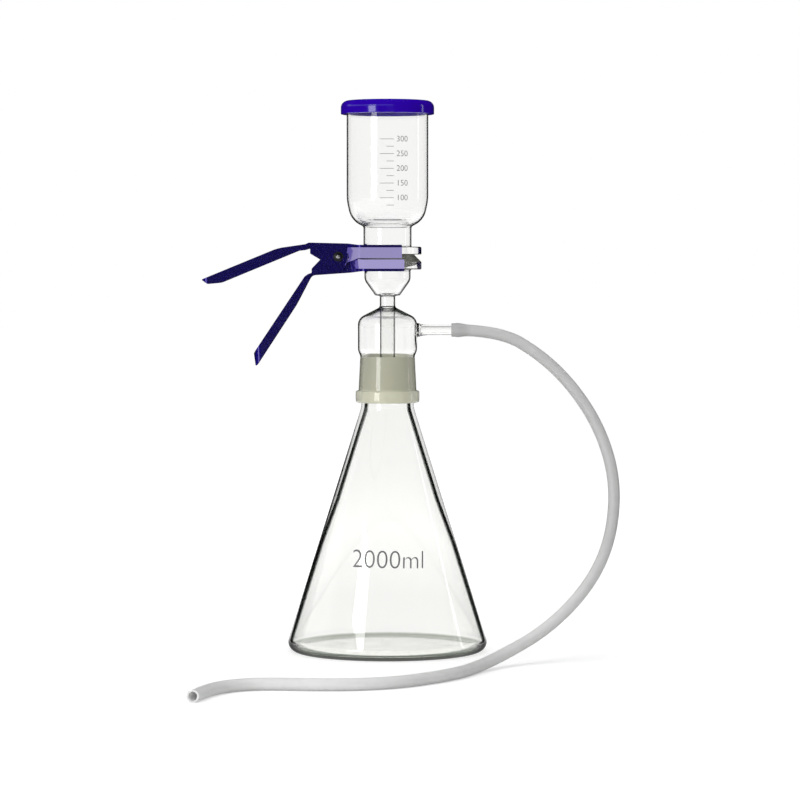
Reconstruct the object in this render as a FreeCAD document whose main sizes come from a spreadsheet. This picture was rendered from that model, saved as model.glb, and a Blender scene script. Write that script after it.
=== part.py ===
import FreeCAD
import Part
import Sketcher
import math
import os

# Vacuum filtration unit: a conical receiving flask, a blown filter base with a hose barb, a graduated
# funnel with its lid, a spring clamp that grips the two flanges, and the vacuum hose.
# The origin is the centre of the flask's base on the bench, +Z is up and the clamp points along -X.
# The glassware is turned about the Z axis. Lengths are millimetres, angles are degrees.

Vector = FreeCAD.Vector
doc = FreeCAD.newDocument("vacuum_filtration_unit")

SIZES = [
    # receiving flask
    ("flask_foot_radius", 88.4, "radius at which the cone of the flask would meet the bench"),
    ("flask_foot_round", 8.0, "rounding of the foot"),
    ("flask_neck_length", 3.8, "straight neck between the cone and the joint"),
    ("flask_shoulder_round", 16.0, "rounding between cone and neck"),
    ("flask_wall", 2.6, "wall of the flask"),
    ("flask_floor", 4.0, "thickness of the floor"),
    ("rim_share", 0.45, "part of a wall's thickness that each rounding of its rim takes"),
    ("fine_round", 0.5, "fire-polished edges"),
    ("step_round", 1.0, "small corners of the blown glass"),
    ("fillet_round", 1.5, "inner corners of the blown glass"),
    # ground joint between flask and filter base
    ("joint_height", 214.3, "height of the mouth of the socket"),
    ("joint_length", 40.0, "length of the ground joint"),
    ("joint_radius", 22.5, "wide end of the ground joint"),
    ("joint_taper", 0.05, "loss of radius for each millimetre of height"),
    ("joint_play", 0.05, "gap between cone and socket"),
    ("neck_drop", 1.0, "how far the neck stays below the top of the joint"),
    # filter base
    ("bead_radius", 27.4, "bead round the mouth of the socket"),
    ("bead_height", 10.3, "height of the bead"),
    ("bead_round", 2.4, "lower edge of the bead"),
    ("socket_wall", 2.9, "wall of the socket"),
    ("adapter_radius", 25.4, "body above the socket"),
    ("adapter_wall", 2.2, "wall of that body"),
    ("adapter_height", 32.4, "from the top of the joint to the shoulder"),
    ("adapter_blend", 5.0, "height of the step from socket to body"),
    ("adapter_round", 9.0, "roundings of the body"),
    ("shoulder_rise", 9.6, "rise of the shoulder up to the stem"),
    ("seal_thickness", 3.0, "thickness of the shoulder, measured upright"),
    ("stem_radius", 6.6, "stem, which runs on down as the drip tube"),
    ("stem_wall", 1.5, "wall of the stem"),
    ("stem_length", 9.7, "stem between shoulder and bulb"),
    ("stem_round", 3.0, "rounding between shoulder and stem"),
    ("drip_height", 224.0, "height of the tip of the drip tube"),
    ("bulb_foot_radius", 10.6, "bottom of the bulb"),
    ("bulb_foot_rise", 0.5, "rise of the bulb's bottom away from the stem"),
    ("bulb_radius", 19.8, "widest part of the bulb"),
    ("bulb_wall", 1.8, "wall of the bulb"),
    ("bulb_height", 22.7, "height of the bulb up to the flange"),
    ("bulb_straight", 9.2, "straight part of the bulb below the flange"),
    ("bulb_round", 9.0, "rounding of the bulb"),
    ("flange_radius", 29.2, "both ground flanges"),
    ("flange_round", 1.2, "edges of both flanges"),
    ("base_flange_edge", 6.4, "upright edge of the lower flange"),
    ("base_flange_bevel", 6.5, "height of the bevel above that edge"),
    ("seat_radius", 22.8, "flat seat that meets the funnel"),
    ("frit_radius", 18.0, "fritted disc"),
    ("frit_thickness", 4.0, "fritted disc"),
    ("frit_ledge", 1.5, "width of the ledge below the disc"),
    ("frit_play", 0.03, "gap round the disc"),
    # side arm and its barb
    ("arm_drop", 10.0, "axis of the side arm below the shoulder"),
    ("arm_radius", 4.3, "side arm"),
    ("arm_root_radius", 6.6, "flared root of the side arm"),
    ("arm_root_bite", 1.6, "how far the root reaches into the wall of the body"),
    ("arm_root_round", 6.0, "rounding of the flared root"),
    ("arm_bore", 2.6, "bore of the side arm"),
    ("arm_neck_reach", 35.0, "distance from the axis at which the root has narrowed"),
    ("arm_reach", 68.0, "distance from the axis to the tip of the barb"),
    ("barb_radius", 4.7, "widest part of the barb"),
    ("barb_length", 10.0, "length of the barb's olive"),
    ("barb_tip_radius", 3.6, "tip of the barb"),
    ("barb_round", 2.0, "roundings of the olive"),
    # funnel
    ("funnel_flange_height", 6.6, "thickness of the upper flange"),
    ("funnel_neck_radius", 20.6, "tube above the flange"),
    ("funnel_neck_height", 24.0, "from the flange's face up to the bowl"),
    ("funnel_wall", 2.4, "wall of the funnel"),
    ("funnel_floor", 1.9, "thickness of the bowl's floor, measured upright"),
    ("funnel_radius", 35.0, "bowl of the funnel"),
    ("funnel_corner_radius", 31.2, "corner at the bottom of the bowl"),
    ("funnel_corner_rise", 5.0, "rise of the bowl's floor out to that corner"),
    ("funnel_side_rise", 17.5, "rise from that corner to the straight wall"),
    ("funnel_foot_round", 2.5, "rounding between tube and bowl"),
    ("funnel_corner_round", 18.0, "rounding of that corner"),
    ("funnel_side_round", 40.0, "rounding up to the straight wall"),
    ("funnel_height", 128.7, "from the flange's face to the rim"),
    # lid
    ("lid_radius", 40.0, "lid"),
    ("lid_thickness", 2.9, "edge of the lid above the rim"),
    ("lid_crown", 0.5, "crown of the lid"),
    ("lid_skirt_depth", 8.7, "skirt below the rim"),
    ("lid_skirt_wall", 3.0, "skirt"),
    ("lid_round", 6.0, "rounded top edge"),
    ("lid_plug_depth", 6.0, "ring that sits inside the funnel"),
    ("lid_plug_wall", 2.2, "that ring"),
    ("lid_plug_play", 0.3, "gap between ring and funnel"),
    # spring clamp; its places are distances from the pin, back towards the handles or on to the glass
    ("sheet", 1.5, "thickness of the clamp's sheet"),
    ("pivot_back", 42.0, "clamp pin behind the axis of the glass"),
    ("pivot_lift", 1.2, "clamp pin above the middle of the flanges"),
    ("seam_drop", 0.7, "seam between the fork walls below the middle of the flanges"),
    ("fork_gap", 1.1, "gap between the two fork walls"),
    ("ear_half_width", 21.0, "outside of the outer ears"),
    ("ear_play", 0.35, "gap between outer and inner ears"),
    ("flare_length", 9.0, "length over which the walls spread from the ears to the fork"),
    ("flange_play", 0.5, "gap between flange and fork walls"),
    ("slot_play", 1.0, "gap between the glass and the slot of the fork"),
    ("fork_upright", 0.7, "upright part of the fork walls next to the plate"),
    ("fork_lean", 8.0, "outward lean of the rest of the fork walls"),
    ("bridge_front_rise", 1.2, "bridge above the fork's plate where the walls start to spread"),
    ("bridge_round", 12.0, "bends along the bridge"),
    ("flare_round", 8.0, "bends where the walls have spread"),
    ("fork_end_round", 0.7, "corners at the ends of the fork"),
    ("wall_round", 5.0, "corners where the ears run into the fork walls"),
    ("ear_round", 3.0, "corners of the ears round the pin"),
    ("neck_round", 2.0, "corners of the ears in front of the pin"),
    ("notch_round", 1.0, "small corners at the back of the ears"),
    ("grip_half_width", 14.0, "half the width of the handles"),
    ("grip_round", 6.0, "corners of the handles, seen from above"),
    ("grip_lip_round", 3.0, "ends of the handles' walls, seen from the side"),
    ("upper_flare", 8.0, "where the upper walls start to spread"),
    ("upper_fork_reach", 12.3, "tip of the upper fork past the axis of the glass"),
    ("upper_bridge_rise", 2.0, "bridge above the fork's plate at the upper bend"),
    ("upper_bend", 25.4, "bend between bridge and upper handle"),
    ("upper_bend_round", 2.0, "rounding of that bend"),
    ("upper_step", 1.3, "step down from the bridge to the upper handle"),
    ("upper_step_length", 2.8, "length of that step"),
    ("upper_knee_back", 52.0, "knee of the upper handle"),
    ("upper_knee_rise", 7.3, "height of that knee above the pin"),
    ("upper_knee_round", 40.0, "rounding of that knee"),
    ("upper_tip_back", 117.5, "tip of the upper handle"),
    ("upper_tip_drop", 19.6, "tip of the upper handle below the pin"),
    ("upper_lip_back", 112.0, "end of the upper handle's walls"),
    ("upper_lip_drop", 23.4, "depth of that end below the pin"),
    ("upper_lip_turn", 11.0, "length of the rounded end of those walls"),
    ("upper_ear_front", 17.0, "where the lower edge of the upper ears meets the fork walls"),
    ("upper_neck_front", 7.2, "corner of the upper ears in front of the pin"),
    ("upper_neck_drop", 5.2, "that corner below the pin"),
    ("upper_ear_depth", 13.0, "upper ears below the pin"),
    ("upper_ear_back", 24.0, "back edge of the upper ears"),
    ("upper_heel_rise", 2.6, "lower end of that edge above the pin"),
    ("upper_notch_back", 14.3, "corner of the upper ears below their back edge"),
    ("upper_notch_drop", 3.2, "that corner below the pin"),
    ("upper_relief", 4.6, "height of the cut between ears and upper handle"),
    ("lower_flare", 11.0, "where the lower walls start to spread"),
    ("lower_fork_reach", 14.3, "tip of the lower fork past the axis of the glass"),
    ("lower_bridge_rise", 3.6, "bridge below the fork's plate at the lower bend"),
    ("lower_bend", 23.0, "bend between bridge and lower handle"),
    ("lower_bend_round", 5.0, "rounding of that bend"),
    ("lower_knee_back", 36.0, "knee of the lower handle"),
    ("lower_knee_drop", 41.0, "depth of that knee below the pin"),
    ("lower_knee_round", 60.0, "rounding of that knee"),
    ("lower_tip_back", 70.8, "tip of the lower handle"),
    ("lower_tip_drop", 94.3, "tip of the lower handle below the pin"),
    ("lower_lip_back", 72.6, "end of the lower handle's walls"),
    ("lower_lip_drop", 82.4, "depth of that end below the pin"),
    ("lower_ear_front", 20.0, "where the upper edge of the lower ears meets the fork walls"),
    ("lower_neck_front", 9.6, "corner of the lower ears in front of the pin"),
    ("lower_neck_drop", 0.4, "that corner below the pin"),
    ("lower_ear_rise", 8.2, "lower ears above the pin"),
    ("lower_ear_back", 22.8, "back edge of the lower ears"),
    ("lower_heel_drop", 10.2, "upper end of that edge below the pin"),
    ("lower_relief", 3.5, "height of that edge"),
    ("pin_radius", 1.75, "clamp pin"),
    ("pin_play", 0.05, "running gap of the pin"),
    ("pin_proud", 0.9, "pin beyond the washers"),
    ("washer_radius", 4.3, "push-on washers at the ends of the pin"),
    ("washer_rim", 1.2, "flat rim of the washers"),
    ("washer_thickness", 0.8, "push-on washers"),
    ("washer_dome", 0.5, "rise of the washers towards the pin"),
    ("spring_wire", 1.6, "wire of the torsion spring"),
    ("spring_turns", 6.0, "turns of the torsion spring"),
    ("spring_play", 0.4, "gap between pin and coil"),
    ("spring_pitch", 1.9, "pitch of the coil"),
    ("spring_leg_reach", 15.0, "ends of the legs behind the pin"),
    ("spring_seat", 0.1, "gap between a leg and the bridge it presses on"),
    # hose
    ("hose_radius", 5.0, "hose"),
    ("hose_bore", 3.5, "bore of the hose"),
    ("hose_start", 55.0, "end of the hose on the side arm, from the axis"),
    ("hose_cuff_taper", 4.0, "length past the barb over which the hose narrows again"),
    ("hose_fit", 0.02, "gap between barb and hose"),
]

sheet = doc.addObject("Spreadsheet::Sheet", "Sizes")
for row, (alias, number, meaning) in enumerate(SIZES, start=1):
    sheet.set("A%d" % row, alias.replace("_", " "))
    sheet.set("B%d" % row, str(number))
    sheet.setAlias("B%d" % row, alias)
    sheet.set("C%d" % row, meaning)
doc.recompute()


def size(alias):
    """A size from the sheet, as a number."""
    return float(sheet.get(alias))


def value(expression):
    """The number that an expression in the sheet's sizes gives."""
    return float(sheet.evalExpression(expression))


# Heights and places that several pieces share, as expressions in the sheet's sizes.
FLASK_SHOULDER = "(Sizes.joint_height - Sizes.flask_neck_length)"
JOINT_TOP = "(Sizes.joint_height + Sizes.joint_length)"
SHOULDER = "(%s + Sizes.adapter_height)" % JOINT_TOP
STEM_FOOT = "(%s + Sizes.shoulder_rise)" % SHOULDER
BULB_FOOT = "(%s + Sizes.stem_length)" % STEM_FOOT
BASE_FLANGE = "(%s + Sizes.bulb_height)" % BULB_FOOT
SEAT = "(%s + Sizes.base_flange_edge + Sizes.base_flange_bevel)" % BASE_FLANGE
FUNNEL_FLANGE = "(%s + Sizes.funnel_flange_height)" % SEAT
RIM = "(%s + Sizes.funnel_height)" % SEAT
ARM_HEIGHT = "(%s - Sizes.arm_drop)" % SHOULDER
PIVOT = "((%s + %s) / 2 + Sizes.pivot_lift)" % (BASE_FLANGE, FUNNEL_FLANGE)
STEM_BORE = "(Sizes.stem_radius - Sizes.stem_wall)"


# ---------------------------------------------------------------------------------------- helpers
def place(item, x="0", y="0", z="0"):
    """Bind the position of an object to three expressions."""
    for axis, expression in (("x", x), ("y", y), ("z", z)):
        if expression != "0":
            item.setExpression(".Placement.Base." + axis, expression)


def new_body(name):
    body = doc.addObject("PartDesign::Body", name)
    body.Label = name
    return body


def outline(body, name, role, corners):
    """Closed sketch through the corners (x, y, rounding), which are expressions; '0' is a sharp corner."""
    sketch = body.newObject("Sketcher::SketchObject", name)
    plane = next(f for f in body.Origin.OriginFeatures if f.Role == role)
    sketch.AttachmentSupport = [(plane, "")]
    sketch.MapMode = "FlatFace"
    count = len(corners)
    points = [Vector(value(x), value(y), 0) for x, y, rounding in corners]
    entries, exits, arcs = [], [], []
    for i, (x, y, rounding) in enumerate(corners):
        arc = None
        entry = leave = points[i]
        if rounding != "0":
            back = (points[i - 1] - points[i]).normalize()
            ahead = (points[(i + 1) % count] - points[i]).normalize()
            half = back.getAngle(ahead) / 2
            radius = value(rounding)
            entry = points[i] + back * (radius / math.tan(half))
            leave = points[i] + ahead * (radius / math.tan(half))
            centre = points[i] + (back + ahead).normalize() * (radius / math.sin(half))
            left_turn = back.cross(ahead).z < 0
            first, last = (entry, leave) if left_turn else (leave, entry)
            start = math.atan2(first.y - centre.y, first.x - centre.x)
            end = math.atan2(last.y - centre.y, last.x - centre.x)
            circle = Part.Circle(centre, Vector(0, 0, 1), radius)
            arc = (Part.ArcOfCircle(circle, start, end), 1 if left_turn else 2, 2 if left_turn else 1)
        entries.append(entry)
        exits.append(leave)
        arcs.append(arc)
    lines = [sketch.addGeometry(Part.LineSegment(exits[i], entries[(i + 1) % count])) for i in range(count)]
    constraints, bound = [], []

    def fix(geometry, position, x, y):
        for kind, expression, line in (("DistanceX", x, -2), ("DistanceY", y, -1)):
            if expression == "0":
                constraints.append(Sketcher.Constraint("PointOnObject", geometry, position, line))
            else:
                bound.append((len(constraints), expression))
                constraints.append(Sketcher.Constraint(kind, -1, 1, geometry, position, value(expression)))

    for i, (x, y, rounding) in enumerate(corners):
        before, after = lines[i - 1], lines[i]
        if arcs[i] is None:
            constraints.append(Sketcher.Constraint("Coincident", before, 2, after, 1))
            fix(after, 1, x, y)
            continue
        shape, at_entry, at_exit = arcs[i]
        bend = sketch.addGeometry(shape)
        corner = sketch.addGeometry(Part.Point(points[i]), True)
        fix(corner, 1, x, y)
        constraints.append(Sketcher.Constraint("PointOnObject", corner, 1, before))
        constraints.append(Sketcher.Constraint("PointOnObject", corner, 1, after))
        constraints.append(Sketcher.Constraint("Tangent", before, 2, bend, at_entry))
        constraints.append(Sketcher.Constraint("Tangent", bend, at_exit, after, 1))
        bound.append((len(constraints), rounding))
        constraints.append(Sketcher.Constraint("Radius", bend, value(rounding)))
    sketch.addConstraint(constraints)
    for index, expression in bound:
        sketch.setExpression("Constraints[%d]" % index, expression)
    return sketch


def turned(name, corners, role="XZ_Plane", axis="V_Axis"):
    """Body turned about an axis of its sketch."""
    body = new_body(name)
    sketch = outline(body, name + "_section", role, corners)
    turn = body.newObject("PartDesign::Revolution", name + "_turn")
    turn.Profile = sketch
    turn.ReferenceAxis = (sketch, [axis])
    turn.Angle = 360
    return body


def padded(name, role, corners, length, both_ways=True, lean="0"):
    """Body padded from an outline, to both sides of its plane or to one."""
    body = new_body(name)
    sketch = outline(body, name + "_outline", role, corners)
    pad = body.newObject("PartDesign::Pad", name + "_pad")
    pad.Profile = sketch
    pad.SideType = "Symmetric" if both_ways else "One side"
    pad.setExpression("Length", length)
    if lean != "0":
        pad.setExpression("TaperAngle", lean)
    return body


def boolean(kind, name, base, tool):
    result = doc.addObject("Part::" + kind, name)
    result.Base = base
    result.Tool = tool
    result.Label = name
    return result


def fused(name, pieces):
    result = doc.addObject("Part::MultiFuse", name)
    result.Shapes = pieces
    result.Label = name
    return result


def rod(name, radius, length, axis, **position):
    """Cylinder along X, Y or Z that starts at the given position."""
    item = doc.addObject("Part::Cylinder", name)
    item.setExpression("Radius", radius)
    item.setExpression("Height", length)
    turns = {"x": (Vector(0, 1, 0), 90), "y": (Vector(1, 0, 0), -90), "z": (Vector(0, 0, 1), 0)}
    item.Placement.Rotation = FreeCAD.Rotation(*turns[axis])
    place(item, **position)
    return item


# ------------------------------------------------------------------------------------------ flask
def make_flask():
    """Conical flask with a thick floor; its neck is the ground cone of the joint."""
    neck = "(Sizes.joint_radius - Sizes.joint_play)"
    cone = "((Sizes.flask_foot_radius - %s) / %s)" % (neck, FLASK_SHOULDER)
    neck_top = "(%s - Sizes.neck_drop)" % JOINT_TOP
    mouth = "(%s - Sizes.joint_taper * (Sizes.joint_length - Sizes.neck_drop))" % neck
    inner_foot = "(Sizes.flask_foot_radius - Sizes.flask_wall - Sizes.flask_floor * %s)" % cone
    corners = [
        ("0", "0", "0"),
        ("Sizes.flask_foot_radius", "0", "Sizes.flask_foot_round"),
        (neck, FLASK_SHOULDER, "Sizes.flask_shoulder_round"),
        (neck, "Sizes.joint_height", "0"),
        (mouth, neck_top, "Sizes.flask_wall * Sizes.rim_share"),
        (mouth + " - Sizes.flask_wall", neck_top, "Sizes.flask_wall * Sizes.rim_share"),
        (neck + " - Sizes.flask_wall", "Sizes.joint_height", "0"),
        (neck + " - Sizes.flask_wall", FLASK_SHOULDER,
         "Sizes.flask_shoulder_round + Sizes.flask_wall"),
        (inner_foot, "Sizes.flask_floor", "Sizes.flask_foot_round - Sizes.flask_wall"),
        ("0", "Sizes.flask_floor", "0"),
    ]
    return turned("flask", corners)


# ------------------------------------------------------------------------------------ filter base
def make_filter_base():
    """Blown filter base: flange, bulb, drip tube, body and socket in one, with the side arm fused on."""
    slope = "(Sizes.shoulder_rise / (Sizes.adapter_radius - Sizes.stem_radius))"
    bead_top = "Sizes.joint_height + Sizes.bead_height"
    joint_small = "(Sizes.joint_radius - Sizes.joint_taper * Sizes.joint_length)"
    bore_at_bead = "(Sizes.joint_radius - Sizes.joint_taper * Sizes.bead_height)"
    adapter_bore = "(Sizes.adapter_radius - Sizes.adapter_wall)"
    bulb_corner = "%s - Sizes.bulb_straight" % BASE_FLANGE
    throat = "(Sizes.frit_radius - Sizes.frit_ledge)"
    seal_inner = "%s + Sizes.adapter_wall * %s - Sizes.seal_thickness" % (SHOULDER, slope)
    inner_round = "Sizes.adapter_round - Sizes.step_round"
    corners = [
        ("Sizes.bead_radius", "Sizes.joint_height", "Sizes.bead_round"),
        ("Sizes.bead_radius", bead_top, "Sizes.fillet_round"),
        (bore_at_bead + " + Sizes.socket_wall", bead_top, "Sizes.step_round"),
        (joint_small + " + Sizes.socket_wall", JOINT_TOP, "Sizes.fillet_round"),
        ("Sizes.adapter_radius", JOINT_TOP + " + Sizes.adapter_blend", "Sizes.adapter_round"),
        ("Sizes.adapter_radius", SHOULDER, "Sizes.adapter_round"),
        ("Sizes.stem_radius", STEM_FOOT, "Sizes.stem_round"),
        ("Sizes.stem_radius", BULB_FOOT, "Sizes.step_round"),
        ("Sizes.bulb_foot_radius", BULB_FOOT + " + Sizes.bulb_foot_rise", "Sizes.fillet_round"),
        ("Sizes.bulb_radius", bulb_corner, "Sizes.bulb_round"),
        ("Sizes.bulb_radius", BASE_FLANGE, "Sizes.fillet_round"),
        ("Sizes.flange_radius", BASE_FLANGE, "Sizes.flange_round"),
        ("Sizes.flange_radius", BASE_FLANGE + " + Sizes.base_flange_edge", "Sizes.flange_round"),
        ("Sizes.seat_radius", SEAT, "Sizes.fine_round"),
        ("Sizes.frit_radius", SEAT, "0"),
        ("Sizes.frit_radius", SEAT + " - Sizes.frit_thickness", "0"),
        (throat, SEAT + " - Sizes.frit_thickness", "Sizes.fine_round"),
        ("Sizes.bulb_radius - Sizes.bulb_wall", BASE_FLANGE + " + Sizes.step_round",
         "2 * Sizes.fillet_round"),
        ("Sizes.bulb_radius - Sizes.bulb_wall", bulb_corner, "Sizes.bulb_round - Sizes.bulb_wall"),
        ("Sizes.bulb_foot_radius - Sizes.bulb_wall",
         BULB_FOOT + " + Sizes.bulb_foot_rise + Sizes.bulb_wall", "Sizes.step_round"),
        (STEM_BORE, BULB_FOOT + " + Sizes.bulb_wall", "Sizes.step_round"),
        (STEM_BORE, "Sizes.drip_height", "Sizes.fine_round"),
        ("Sizes.stem_radius", "Sizes.drip_height", "Sizes.fine_round"),
        ("Sizes.stem_radius", STEM_FOOT + " - Sizes.seal_thickness", "Sizes.fillet_round"),
        (adapter_bore, seal_inner, inner_round),
        (adapter_bore, JOINT_TOP + " + Sizes.adapter_blend", inner_round),
        (joint_small, JOINT_TOP, "Sizes.fillet_round"),
        ("Sizes.joint_radius", "Sizes.joint_height", "Sizes.fine_round"),
    ]
    vessel = turned("filter_base_vessel", corners)

    # the side arm starts inside the wall of the body and ends in an olive that grips the hose
    root = "(Sizes.adapter_radius - Sizes.arm_root_bite)"
    olive = "Sizes.arm_reach - Sizes.barb_length"
    arm = turned("side_arm", [
        (root, "Sizes.arm_bore", "0"),
        (root, "Sizes.arm_root_radius", "0"),
        ("(Sizes.adapter_radius + Sizes.arm_neck_reach) / 2", "Sizes.arm_radius + Sizes.fine_round",
         "Sizes.arm_root_round"),
        ("Sizes.arm_neck_reach", "Sizes.arm_radius", "0"),
        (olive, "Sizes.arm_radius", "Sizes.barb_round"),
        (olive + " + Sizes.barb_length / 4", "Sizes.barb_radius", "Sizes.barb_round"),
        ("Sizes.arm_reach", "Sizes.barb_tip_radius", "Sizes.fine_round"),
        ("Sizes.arm_reach", "Sizes.arm_bore", "0"),
    ], axis="H_Axis")
    place(arm, z=ARM_HEIGHT)
    passage = rod("side_arm_passage", "Sizes.arm_bore", "4 * Sizes.adapter_wall", "x",
                  x="Sizes.adapter_radius - 2 * Sizes.adapter_wall", z=ARM_HEIGHT)
    glass = boolean("Fuse", "filter_base_blank", vessel, arm)
    return boolean("Cut", "filter_base", glass, passage)


def make_frit_disc():
    """Sintered disc that carries the membrane, flush with the seat of the filter base."""
    return turned("frit_disc", [
        ("0", SEAT + " - Sizes.frit_thickness", "0"),
        ("Sizes.frit_radius - Sizes.frit_play", SEAT + " - Sizes.frit_thickness", "0"),
        ("Sizes.frit_radius - Sizes.frit_play", SEAT, "0"),
        ("0", SEAT, "0"),
    ])


# --------------------------------------------------------------------------------- funnel and lid
def make_funnel():
    """Graduated funnel: a wide bowl on a short tube with a ground flange."""
    neck_bore = "(Sizes.funnel_neck_radius - Sizes.funnel_wall)"
    floor = "%s + Sizes.funnel_neck_height" % SEAT
    corner = "%s + Sizes.funnel_corner_rise" % floor
    side = "%s + Sizes.funnel_side_rise" % corner
    return turned("funnel", [
        ("Sizes.flange_radius", SEAT, "Sizes.flange_round"),
        ("Sizes.flange_radius", FUNNEL_FLANGE, "Sizes.flange_round"),
        ("Sizes.funnel_neck_radius", FUNNEL_FLANGE, "Sizes.fine_round"),
        ("Sizes.funnel_neck_radius", floor, "Sizes.funnel_foot_round"),
        ("Sizes.funnel_corner_radius", corner, "Sizes.funnel_corner_round"),
        ("Sizes.funnel_radius", side, "Sizes.funnel_side_round"),
        ("Sizes.funnel_radius", RIM, "Sizes.funnel_wall * Sizes.rim_share"),
        ("Sizes.funnel_radius - Sizes.funnel_wall", RIM, "Sizes.funnel_wall * Sizes.rim_share"),
        ("Sizes.funnel_radius - Sizes.funnel_wall", side, "Sizes.funnel_side_round"),
        ("Sizes.funnel_corner_radius - Sizes.funnel_wall", corner + " + Sizes.funnel_floor",
         "Sizes.funnel_corner_round - Sizes.funnel_wall"),
        (neck_bore, floor + " + Sizes.funnel_floor", "Sizes.funnel_foot_round + Sizes.funnel_wall"),
        (neck_bore, SEAT, "Sizes.fine_round"),
    ])


def make_lid():
    """Plastic lid: a crowned disc on the rim, a skirt outside the funnel and a ring inside it."""
    plug = "(Sizes.funnel_radius - Sizes.funnel_wall - Sizes.lid_plug_play)"
    edge = "%s + Sizes.lid_thickness" % RIM
    skirt_foot = "%s - Sizes.lid_skirt_depth" % RIM
    return turned("lid", [
        ("0", RIM, "0"),
        (plug + " - Sizes.lid_plug_wall", RIM, "Sizes.fine_round"),
        (plug + " - Sizes.lid_plug_wall", RIM + " - Sizes.lid_plug_depth", "Sizes.fine_round"),
        (plug, RIM + " - Sizes.lid_plug_depth", "Sizes.fine_round"),
        (plug, RIM, "0"),
        ("Sizes.lid_radius - Sizes.lid_skirt_wall", RIM, "Sizes.fine_round"),
        ("Sizes.lid_radius - Sizes.lid_skirt_wall", skirt_foot, "Sizes.fine_round"),
        ("Sizes.lid_radius", skirt_foot, "Sizes.fine_round"),
        ("Sizes.lid_radius", edge, "Sizes.lid_round"),
        ("0", edge + " + Sizes.lid_crown", "0"),
    ])


# ---------------------------------------------------------------------------------- spring clamp
def under_face(back, beyond):
    """The line one sheet thickness below the corners of a bent sheet, run on beyond both ends."""
    slopes = ["atan((%s - (%s)) / (%s - (%s)))" % (z2, z1, x2, x1)
              for (x1, z1, r1), (x2, z2, r2) in zip(back, back[1:])]
    under = []
    for i, (x, z, rounding) in enumerate(back):
        before = slopes[max(i - 1, 0)]
        after = slopes[min(i, len(slopes) - 1)]
        lean = "((%s + %s) / 2)" % (before, after)
        depth = "(Sizes.sheet / cos((%s - %s) / 2))" % (before, after)
        reach = {0: "- " + beyond, len(back) - 1: "+ " + beyond}.get(i, "")
        bend = "- Sizes.sheet" if value(before) > value(after) else "+ Sizes.sheet"
        run = " %s * %%s(%s)" % (reach, lean) if reach else "%.0s"
        under.append((
            "%s + %s * sin(%s)" % (x, depth, lean) + run % "cos",
            "%s - %s * cos(%s)" % (z, depth, lean) + run % "sin",
            "0" if reach else "max(%s %s; Sizes.fine_round)" % (rounding, bend),
        ))
    return under


def back_of(distance):
    """A place behind the pin, as an expression."""
    return "(0 - %s)" % distance


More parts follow.
